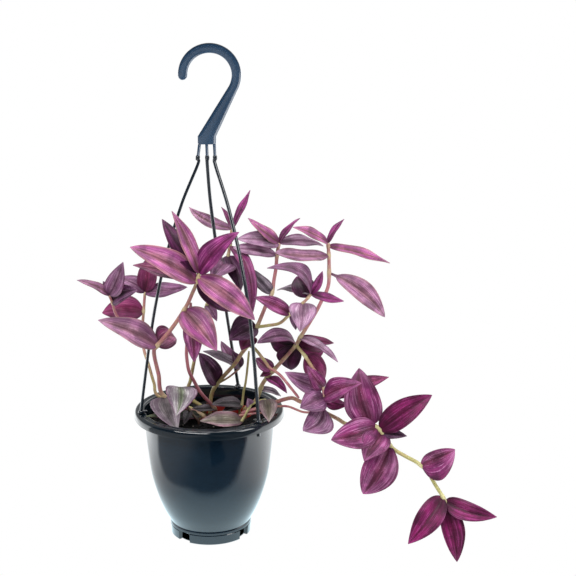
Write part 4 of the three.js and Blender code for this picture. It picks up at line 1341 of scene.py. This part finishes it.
STEMS = (
    LeafyStem("stem_front_left", "leaf_rosy", (-7, -4), Growth(4, (0.75, 0.6), (
        (164.5, 397, -9), (158.5, 374, -16), (154, 353, -22), (157, 346, -24), (169, 332, -29), (179, 318, -34),
        (187, 305, -39), (192, 294, -43), (197, 282, -46), (199, 273, -48),
    ), (
        Leaf(0, (178, 431, -45), 30, 15, Tone.HOAR, belly=0.3, sway=0.08),
        Leaf(-1, (146, 416, -28), 15, 50, Tone.OLIVE, sway=-0.12),
        Leaf(3, (98, 320, -34), 26, 30, Tone.BLUSH),
        Leaf(3, (176, 338, 6), 24, 15, Tone.RUSSET, sway=-0.12),
        Leaf(5.6, (217, 351, -60), 29, 15, Tone.ROSE, belly=0.36),
        Leaf(8, (133, 265, -28), 23, 50, Tone.RUSSET, sway=-0.06),
        Leaf(8, (130, 247, -62), 26, 28, Tone.ROSE, belly=0.42),
        Leaf(8, (235, 311, -32), 24, 20, Tone.NIGHT, sway=0.03),
        Leaf(8.5, (255, 320, -60), 25, 20, Tone.ROSE, belly=0.4),
        Leaf(9, (162, 219, -30), 19, 20, Tone.NIGHT, sway=-0.05),
        Leaf(9, (172, 211, -46), 17, 35, Tone.ROSE, sway=-0.04),
        Leaf(9, (239, 232, -58), 22, 25, Tone.ORCHID, sway=-0.03),
    ))),
    LeafyStem("stem_far_left", "leaf_wine", (-9, 6), Growth(3.2, (0.2, 0.7), (
        (160, 397, 7), (154, 383, 11), (149, 366, 18), (144, 350, 28), (142.5, 336, 34), (143, 320, 41),
        (144, 306, 46), (145, 292, 50),
    ), (
        Leaf(5.6, (102, 313, 50), 26, 20, Tone.CRIMSON, sway=0.05),
        Leaf(7, (149, 256, 62), 20, 10, Tone.CRIMSON, sway=0.04),
        Leaf(7, (187, 287, 36), 17, 35, Tone.MAUVE, arch=-0.08, sway=-0.03),
        Leaf(7, (117, 279, 54), 18, 35, Tone.MAUVE, arch=0.16),
    ), shoots=(
        Growth(2.7, (0.5, 0.9), (
            (128, 326, 28), (117, 316, 20), (112, 302, 14), (109, 295, 11),
        ), (
            Leaf(2, (138, 290, 2), 18, 20, Tone.DUSK, sway=-0.08),
            Leaf(3, (77, 280, -4), 10, 40, Tone.BLUSH),
            Leaf(3, (123, 262, 0), 19, 15, Tone.MAUVE, sway=0.06),
            Leaf(3, (103, 281, 18), 7, 20, Tone.DUSK),
        ), at=4),
    ))),
    LeafyStem("stem_inner_left", "leaf_plum", (4, 16), Growth(3.6, (0.9, 0.8), (
        (201, 393, 6), (194, 381, 0), (189, 371, -6), (187, 360, -10), (186.5, 350, -14), (188, 330, -22),
        (191, 303, -30),
    ), (
        Leaf(-1, (190, 410, 0), 11, 50, Tone.SMOKE, arch=0.03, sway=-0.03),
        Leaf(5.4, (194, 362, -36), 19, 20, Tone.PLUM),
    ))),
    LeafyStem("stem_back", "leaf_plum", (-6, 16), Growth(3.6, (0.15, 0.7), (
        (187.5, 395, 15), (190.5, 380, 18), (194, 362, 19), (200, 333, 19), (207, 305, 18), (217, 283, 18),
        (226, 263, 20), (230, 246, 23), (232, 229, 25),
    ), (
        Leaf(4, (217, 321, 2), 10, 20, Tone.MAUVE),
        Leaf(6.1, (211, 279, -24), 26, 10, Tone.MAUVE),
        Leaf(6.4, (241, 291, -10), 20, 20, Tone.DUSK),
        Leaf(7, (251, 320, -24), 15, 30, Tone.PLUM, arch=0.24),
        Leaf(8, (189, 207, 60), 12, 20, Tone.BLUSH, arch=0.03, sway=-0.08),
        Leaf(8, (250, 190, 42), 10, 50, Tone.ORCHID, sway=0.12),
        Leaf(8, (221.5, 207, 12), 6.5, 30, Tone.PLUM),
    ))),
    LeafyStem("stem_centre", "leaf_rosy", (-1, 27), Growth(4, (0.3, 0.8), (
        (212, 393, 26), (217, 384, 22), (226, 373.5, 14), (235.5, 363, 6), (241.5, 353.5, 0), (248, 345, -5),
        (252, 336, -9), (257, 327, -12), (262, 315, -8), (267, 303, -2), (272, 293, 4), (274, 280, 9),
        (276, 268, 13), (277, 255, 17), (279, 243, 20),
    ), (
        Leaf(1, (199, 353, 0), 20, 20, Tone.DUSK, belly=0.45),
        Leaf(6, (241, 350, -24), 18, 20, Tone.WINE),
        Leaf(7, (229, 340, -24), 26, 20, Tone.DUSK, skew=0.2),
        Leaf(10, (250, 268, 2), 13, 30, Tone.ASH, sway=-0.08),
        Leaf(10, (253, 283, -2), 8, 20, Tone.ASH, arch=0.04),
        Leaf(13, (233, 248, 6), 15, 40, Tone.LILAC, belly=0.5, sway=-0.06),
        Leaf(14, (237, 239, 4), 20, 35, Tone.LILAC, arch=0.08, sway=-0.02),
        Leaf(14, (248, 218, 12), 13, 40, Tone.ROSE, arch=0.08, sway=-0.09),
        Leaf(14, (300, 218, 34), 9, 55, Tone.ORCHID, sway=0.03),
        Leaf(14, (323.5, 246, 56), 14, 45, Tone.LILAC, arch=0.08),
    ), shoots=(
        Growth(3, (0.3, 0.8), (
            (268, 325.5, -16), (280, 323, -20), (290, 314, -24), (297, 308, -26), (303, 303, -27), (307, 299, -27),
            (311, 294, -26),
        ), (
            Leaf(2, (254, 297, -26), 15, 25, Tone.PLUM, arch=0.14, sway=-0.02),
            Leaf(2, (296, 330, -16), 6, 20, Tone.DUSK),
            Leaf(4, (300, 332, -44), 26, 5, Tone.LILAC, belly=0.3, sway=-0.04),
            Leaf(5.3, (296.5, 276.5, -8), 22, 10, Tone.NIGHT),
            Leaf(6, (267, 268, -32), 18, 45, Tone.MAUVE, arch=0.36),
            Leaf(6, (322.5, 271, -20), 9, 20, Tone.ORCHID, sway=0.1),
            Leaf(6, (344, 301, -20), 11, 40, Tone.ORCHID, arch=0.02, sway=0.05),
            Leaf(6, (277, 290, 2), 11, 50, Tone.ASH),
        ), at=7),
        Growth(3, (0.3, 0.8), (
            (255, 349, -10), (264, 360, -16), (270, 368, -22), (281, 376, -30), (299, 398, -42),
        ), (), at=5),
        Growth(2, (0.3, 0.8), (
            (229, 377, 18), (240, 368, 16),
        ), (
            Leaf(1, (203, 351, 12), 14, 50, Tone.ASH, sway=-0.03),
            Leaf(1, (221, 341, 30), 13, 25, Tone.MAUVE, sway=-0.1),
            Leaf(1, (232, 351, 8), 12, 20, Tone.DUSK),
        ), at=1),
    ))),
    LeafyStem("stem_thin", "leaf_plum", (28, 14), Growth(2.5, (0.2, 0.4), (
        (242, 405, 11), (243.5, 393, 10), (245.5, 383, 10), (247, 372, 12), (248, 362, 13), (249, 351, 14),
    ), (
        Leaf(0, (211.5, 404.5, 2), 17, 50, Tone.SMOKE, sway=-0.04),
        Leaf(-0.5, (221, 413.5, -2), 11, 50, Tone.SMOKE),
    ))),
    LeafyStem("stem_short", "leaf_plum", (30, -20), Growth(3, (0.2, 0.4), (
        (242, 421, -21), (246.5, 413, -22), (250, 406, -21), (252, 400, -21),
    ), (
        Leaf(0, (200, 421, -32), 21, 45, Tone.TAUPE, arch=0.08, sway=-0.07),
        Leaf(2, (247.5, 398.5, -26), 9, 20, Tone.LILAC),
    ), shoots=(
        Growth(2, (0.2, 0.4), (
            (258, 401, -23), (266, 399.5, -26),
        ), (
            Leaf(1, (269, 422, -46), 18, 5, Tone.TAUPE, belly=0.34, sway=-0.03),
        ), at=2),
    ))),
    LeafyStem("stem_right", "leaf_rosy", (33, 14), Growth(4, (0.35, 0.85), (
        (256, 400, 13), (262, 385, 8), (267, 377.5, 5), (273, 371, 2), (281.5, 361.5, -2), (290, 352, -4),
        (296, 345, -5), (300, 338, -4), (308, 325, 3), (317, 310, 11), (322, 300, 17), (327, 290, 23),
        (329, 280, 29), (329, 262, 37), (328.5, 250, 41), (328, 243, 43),
    ), (
        Leaf(0.7, (281, 396, 18), 9, 50, Tone.ASH),
        Leaf(2, (287, 393, -18), 12, 40, Tone.ORCHID),
        Leaf(3, (256, 358, 12), 14, 20, Tone.PLUM, sway=-0.05),
        Leaf(3, (260, 376.5, 8), 7, 30, Tone.CRIMSON),
        Leaf(6, (257, 343, -26), 18, 45, Tone.MAUVE, arch=0.26, belly=0.5),
        Leaf(6, (269, 338, 14), 22, -20, Tone.NIGHT),
        Leaf(6, (291, 370, 10), 24, 10, Tone.NIGHT, sway=0.12),
        Leaf(6, (324, 351, 14), 18, 15, Tone.MAGENTA, sway=0.1),
        Leaf(7, (338, 362, -28), 12, 45, Tone.LILAC, arch=0.1),
        Leaf(7, (334, 343, 8), 10, 30, Tone.CRIMSON, sway=0.06),
        Leaf(12.4, (385, 317, 16), 21, 20, Tone.BLUSH, arch=0.1, belly=0.45, sway=-0.05, stalk=0.1),
        Leaf(13.5, (275, 253, -10), 17, 45, Tone.BLUSH, arch=0.02, belly=0.55, sway=-0.06),
        Leaf(14.5, (390, 263, 58), 14, 50, Tone.ROSE, arch=0.03),
        Leaf(15, (293, 227, 14), 13, 45, Tone.ROSE, arch=0.05),
        Leaf(15, (344, 219, 58), 9, 50, Tone.ORCHID, sway=0.03),
    ), shoots=(
        Growth(3.2, (0.35, 0.85), (
            (305, 356, -14), (312, 367, -24), (320, 378, -36), (323, 388, -44), (324, 397, -49),
        ), (
            Leaf(0, (325, 379, -6), 24, 20, Tone.CRIMSON, sway=0.06),
            Leaf(3, (285, 372, -48), 19, 20, Tone.MAUVE, sway=-0.1),
            Leaf(3, (307, 366, -56), 15, 15, Tone.PLUM, sway=-0.05),
            Leaf(4, (300, 408, -62), 25, 10, Tone.MAUVE),
            Leaf(4, (361.5, 383, -70), 23, 30, Tone.PLUM),
            Leaf(4, (348, 405, -52), 14, -30, Tone.MAGENTA, sway=0.05),
            Leaf(4, (389, 377, -30), 16, 10, Tone.CRIMSON),
        ), at=6),
    ))),
    LeafyStem("stem_trailing", "leaf_wine", (32, 3), Growth(3.9, (0.85, 0.1), (
        (264, 407, 2), (276, 402, -4), (291, 398, -15), (299, 401, -26), (310, 406, -32), (322, 411, -34),
        (337, 418.5, -38), (347, 424, -42), (362, 424, -50), (377, 427, -58), (385, 438, -62), (393, 448.5, -66),
        (405, 456, -70), (417, 462.5, -74), (427, 471, -78), (436, 486, -84), (443, 497, -88), (446, 504, -90),
    ), (
        Leaf(8.6, (359, 368, -46), 35, 10, Tone.PLUM, belly=0.4, sway=-0.1),
        Leaf(9, (331, 440, -74), 29, 10, Tone.PLUM, belly=0.42, sway=-0.06),
        Leaf(9.3, (432, 395, -72), 25, 10, Tone.MAGENTA, belly=0.42),
        Leaf(9.6, (407, 436, -72), 10, 10, Tone.DUSK),
        Leaf(9.6, (364, 461, -84), 27, 10, Tone.PLUM),
        Leaf(10.6, (363, 494, -76), 33, 5, Tone.PLUM, belly=0.45, sway=-0.08),
        Leaf(13.4, (455, 450, -92), 27, 10, Tone.PLUM, belly=0.5, skew=0.55),
        Leaf(16, (408, 544, -100), 24, 10, Tone.MAGENTA, belly=0.36, sway=-0.05),
        Leaf(16.6, (497, 517, -106), 18.5, 10, Tone.MAGENTA, sway=0.08),
        Leaf(17, (457, 562, -98), 21, 5, Tone.MAGENTA, sway=-0.03),
        Leaf(17, (459, 513, -98), 6, 10, Tone.DUSK),
    ))),
    LeafyStem("stem_low_right", "leaf_plum", (28, -6), Growth(2.4, (0.7, 0.7), (
        (266, 412, -8), (276, 407, -13), (288, 406.5, -22), (303, 412, -32), (314, 411.5, -41), (323, 407, -45),
    ), (
        Leaf(5, (303, 431, -62), 27, 0, Tone.MAUVE, belly=0.45, sway=-0.22),
    ))),
    LeafyStem("stem_low_left", "leaf_plum", (-9, -20), Growth(2.6, (0.4, 0.6), (
        (190, 411, -19), (184, 398, -18), (180, 387, -18),
    ), (
        Leaf(0, (184, 424, -34), 9, 20, Tone.SMOKE),
        Leaf(2, (176, 416, -50), 30, 5, Tone.SILVER, belly=0.3, sway=-0.08),
    )), skin=StemFinish("dry_stem_skin", 0x46382A, 0x50302C, 0x685840)),
)


WHITE, BLACK, PALE = (1.0, 1.0, 1.0, 1.0), (0.0, 0.0, 0.0, 1.0), (0.9, 0.9, 0.9, 1.0)


@dataclass
class Studio:
    """The plain pale floor, the soft lights and the white room.

    The floor and the room have to look dark from some directions in reflections. Each row of limits holds where
    an easing starts and ends, and then its two values, if they aren't 0 and 1. Lengths are in metres.
    """

    floor_size: float = 12.0
    room: float = 0.3
    # The bluish colour of the floor's glow in reflections, in the middle strip.
    reflection_tint: Colour = (0.72, 0.93, 1.02, 1.0)
    # Radii from the pot's axis over which the floor turns from black to white for the camera: a painted shadow under
    # the pot.
    painted_shadow_under_pot: Pair = (0.033, 0.0345)
    dark_line: Limits = (-0.06, -0.235, -0.112, 0.02)
    line_blur: Pair = (-0.016, 0.022)
    cool_middle: Limits = (0.04, 0.16, 0.0, 0.85)
    bright_right: Limits = (0.08, 0.3, 1.0, 2.1)
    bright_left: Pair = (-0.14, -0.27)
    bright_foot: Limits = (0.11, 0.045, 0.0, 0.7)
    faint_left: Limits = (-0.04, -0.2, 0.0, 0.3)
    patch: Point = (0.058, 0.04, -0.18)
    patch_blur: Pair = (0.012, 0.02)
    patch_dark: Limits = (0.0, 1.0, 0.13, 0.0)
    room_line: Limits = (-0.1, 0.1, 0.05, -0.22)
    room_blur: Limits = (-0.08, 0.08, 0.02, 1.0)
    room_rise: Limits = (0.0, 0.25, 1.0, 0.3)

    def build(self, hook: Object) -> None:
        """Builds the floor, the room and the lights: the hook has two of its own and none from above."""
        self.floor()
        self.world()
        aim = (0.04, 0.0, -0.24)
        lamps = [
            self.light("key", (-0.7, -1.2, 1.3), 33.0, (1.7, 0.5), aim),
            self.light("side", (1.4, -0.7, 0.7), 14.0, (0.7, 1.2), aim),
            self.light("top", (0.1, 0.5, 1.5), 19.0, (1.2, 1.0), aim),
        ]
        kept_off = self.group("kept_off_the_hook", hook)
        kept_off.collection_objects[0].light_linking.link_state = "EXCLUDE"
        for lamp in lamps:
            lamp.light_linking.receiver_collection = kept_off
        only_hook = self.group("hook_alone", hook)
        low = self.light("low", (0.32, -0.34, -0.3), 2.0, (0.4, 0.6), (0.0, 0.0, -0.02))
        front = self.light("front", (-0.25, -1.2, 0.2), 6.2, (0.6, 0.6), (0.0, 0.0, -0.05))
        front.visible_glossy = False
        for lamp in (low, front):
            lamp.light_linking.receiver_collection = only_hook
        view = bpy.context.scene.view_settings
        view.view_transform, view.look, view.exposure = "Standard", "None", 0.0

    def floor(self) -> None:
        """Makes the floor: white to the camera but black under the pot, a painted shadow seen through the foot's
        notches. In reflections it glows, bluish in a middle strip, and is dark beyond a line before the pot.
        """
        mesh = bmesh.new()
        bmesh.ops.create_grid(mesh, x_segments=1, y_segments=1, size=self.floor_size)
        bmesh.ops.translate(mesh, vec=(0.0, 0.0, place((0.0, 0.0, 0.0)).z), verts=list(mesh.verts))
        data = bpy.data.meshes.new("floor")
        mesh.to_mesh(data)
        mesh.free()
        stand("floor", data)
        material, w = bare_material("pale_floor")
        rays = w.node("ShaderNodeLightPath").outputs
        seen, mirror = rays["Is Camera Ray"], rays["Is Glossy Ray"]
        x, y, _ = w.split(w.spot())
        off_axis = w.minus(x, place((0.0, 0.0, 0.0)).x)
        apart = w.sums("SQRT", w.plus(w.times(off_axis, off_axis), w.times(y, y)))
        lit = w.ease(w.minus(y, w.ease(x, *self.dark_line)), *self.line_blur)
        strong = w.plus(w.ease(x, *self.bright_right), w.ease(x, *self.bright_left), w.ease(apart, *self.bright_foot))
        shaded = w.plus(w.ease(x, *self.faint_left), self.shade(w, x, y))
        mirrored = w.times(w.blend_values(lit, shaded, strong), mirror)
        # Black to the camera under the pot: painted shadow.
        shown = w.times(seen, w.ease(apart, *self.painted_shadow_under_pot))
        whitened = w.sums("MAXIMUM", shown, w.ease(w.sums("ABSOLUTE", x), *self.cool_middle))
        shader = w.node("ShaderNodeBsdfPrincipled", {
            "Base Color": w.blend(w.sums("MAXIMUM", mirror, seen), PALE, BLACK), "Roughness": 0.9,
            "Specular IOR Level": 0.0, "Emission Color": w.blend(whitened, self.reflection_tint, WHITE),
            "Emission Strength": w.sums("MAXIMUM", mirrored, shown),
        })
        w.node("ShaderNodeOutputMaterial", {0: shader.outputs[0]})
        data.materials.append(material)

    def shade(self, w: Wiring, x: NodeSocket, y: NodeSocket) -> NodeSocket:
        """Gives the faint light of the shaded floor, with a dark patch before the pot."""
        middle, half, start = self.patch
        side_blur, front_blur = self.patch_blur
        across = w.ease(w.sums("ABSOLUTE", w.minus(x, middle)), half, half + side_blur, 1.0, 0.0)
        return w.ease(w.times(across, w.ease(y, start, start - front_blur)), *self.patch_dark)

    def world(self) -> None:
        """Makes the room: white to the camera, softer as a light, and dark in reflections before the pot."""
        world = bpy.context.scene.world = bpy.data.worlds.new("white_room")
        world.use_nodes = True
        w = Wiring(world.node_tree)
        rays = w.node("ShaderNodeLightPath").outputs
        mirror = rays["Is Glossy Ray"]
        x, y, z = w.split(w.spot("Generated"))
        lit = w.ease(w.minus(y, w.ease(x, *self.room_line)), *self.room_blur)
        mirrored = w.times(mirror, w.times(lit, w.ease(z, *self.room_rise)))
        level = w.plus(mirrored, w.times(w.minus(1.0, mirror), self.room))
        strength = w.sums("MAXIMUM", level, rays["Is Camera Ray"])
        back = w.node("ShaderNodeBackground", {"Color": WHITE, "Strength": strength})
        w.node("ShaderNodeOutputWorld", {0: back.outputs[0]})

    @staticmethod
    def group(name: str, piece: Object) -> Collection:
        """Makes a collection of one piece for a light to reach or leave out."""
        made = bpy.data.collections.new(name)
        made.objects.link(piece)
        return made

    @staticmethod
    def light(name: str, spot: Point, power: float, size: Pair, aim: Point) -> Object:
        """Adds a soft area light.

        Args:
            name: The light's name.
            spot: Its place in metres.
            power: Its power in watts.
            size: Its width and height in metres.
            aim: The point that it faces.

        Returns:
            The lamp.
        """
        data = bpy.data.lights.new(name, "AREA")
        data.shape = "RECTANGLE"
        data.size, data.size_y = size
        data.energy = power
        lamp = stand(name, data)
        lamp.location = spot
        lamp.rotation_euler = (Vector(aim) - Vector(spot)).to_track_quat("-Z", "Y").to_euler()
        return lamp


ARMS = (
    Arm("arm_left", 196.0, -5.1, -7.0, 10.0, 0.8),
    Arm("arm_right", -43.0, 8.0, 8.5, 14.0, 0.85),
    Arm("arm_back", 67.5, 1.2, 1.5, -5.0, 0.6),
)


def main() -> None:
    """Builds the whole scene."""
    logging.basicConfig(level=logging.INFO, format="%(message)s")
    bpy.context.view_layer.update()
    build_blade_pattern()
    build_moulded_skin()
    materials = Materials()
    VIEW.camera()
    HangingPot().build(materials)
    hook = Hook().build(materials, ARMS)
    for arm in ARMS:
        arm.build(materials)
    NurseryPot().build(materials)
    Soil().build(materials)
    SoilBed().build(materials)
    for stem in STEMS:
        stem.build(materials)
    Studio().build(hook)


if __name__ == "__main__":
    main()
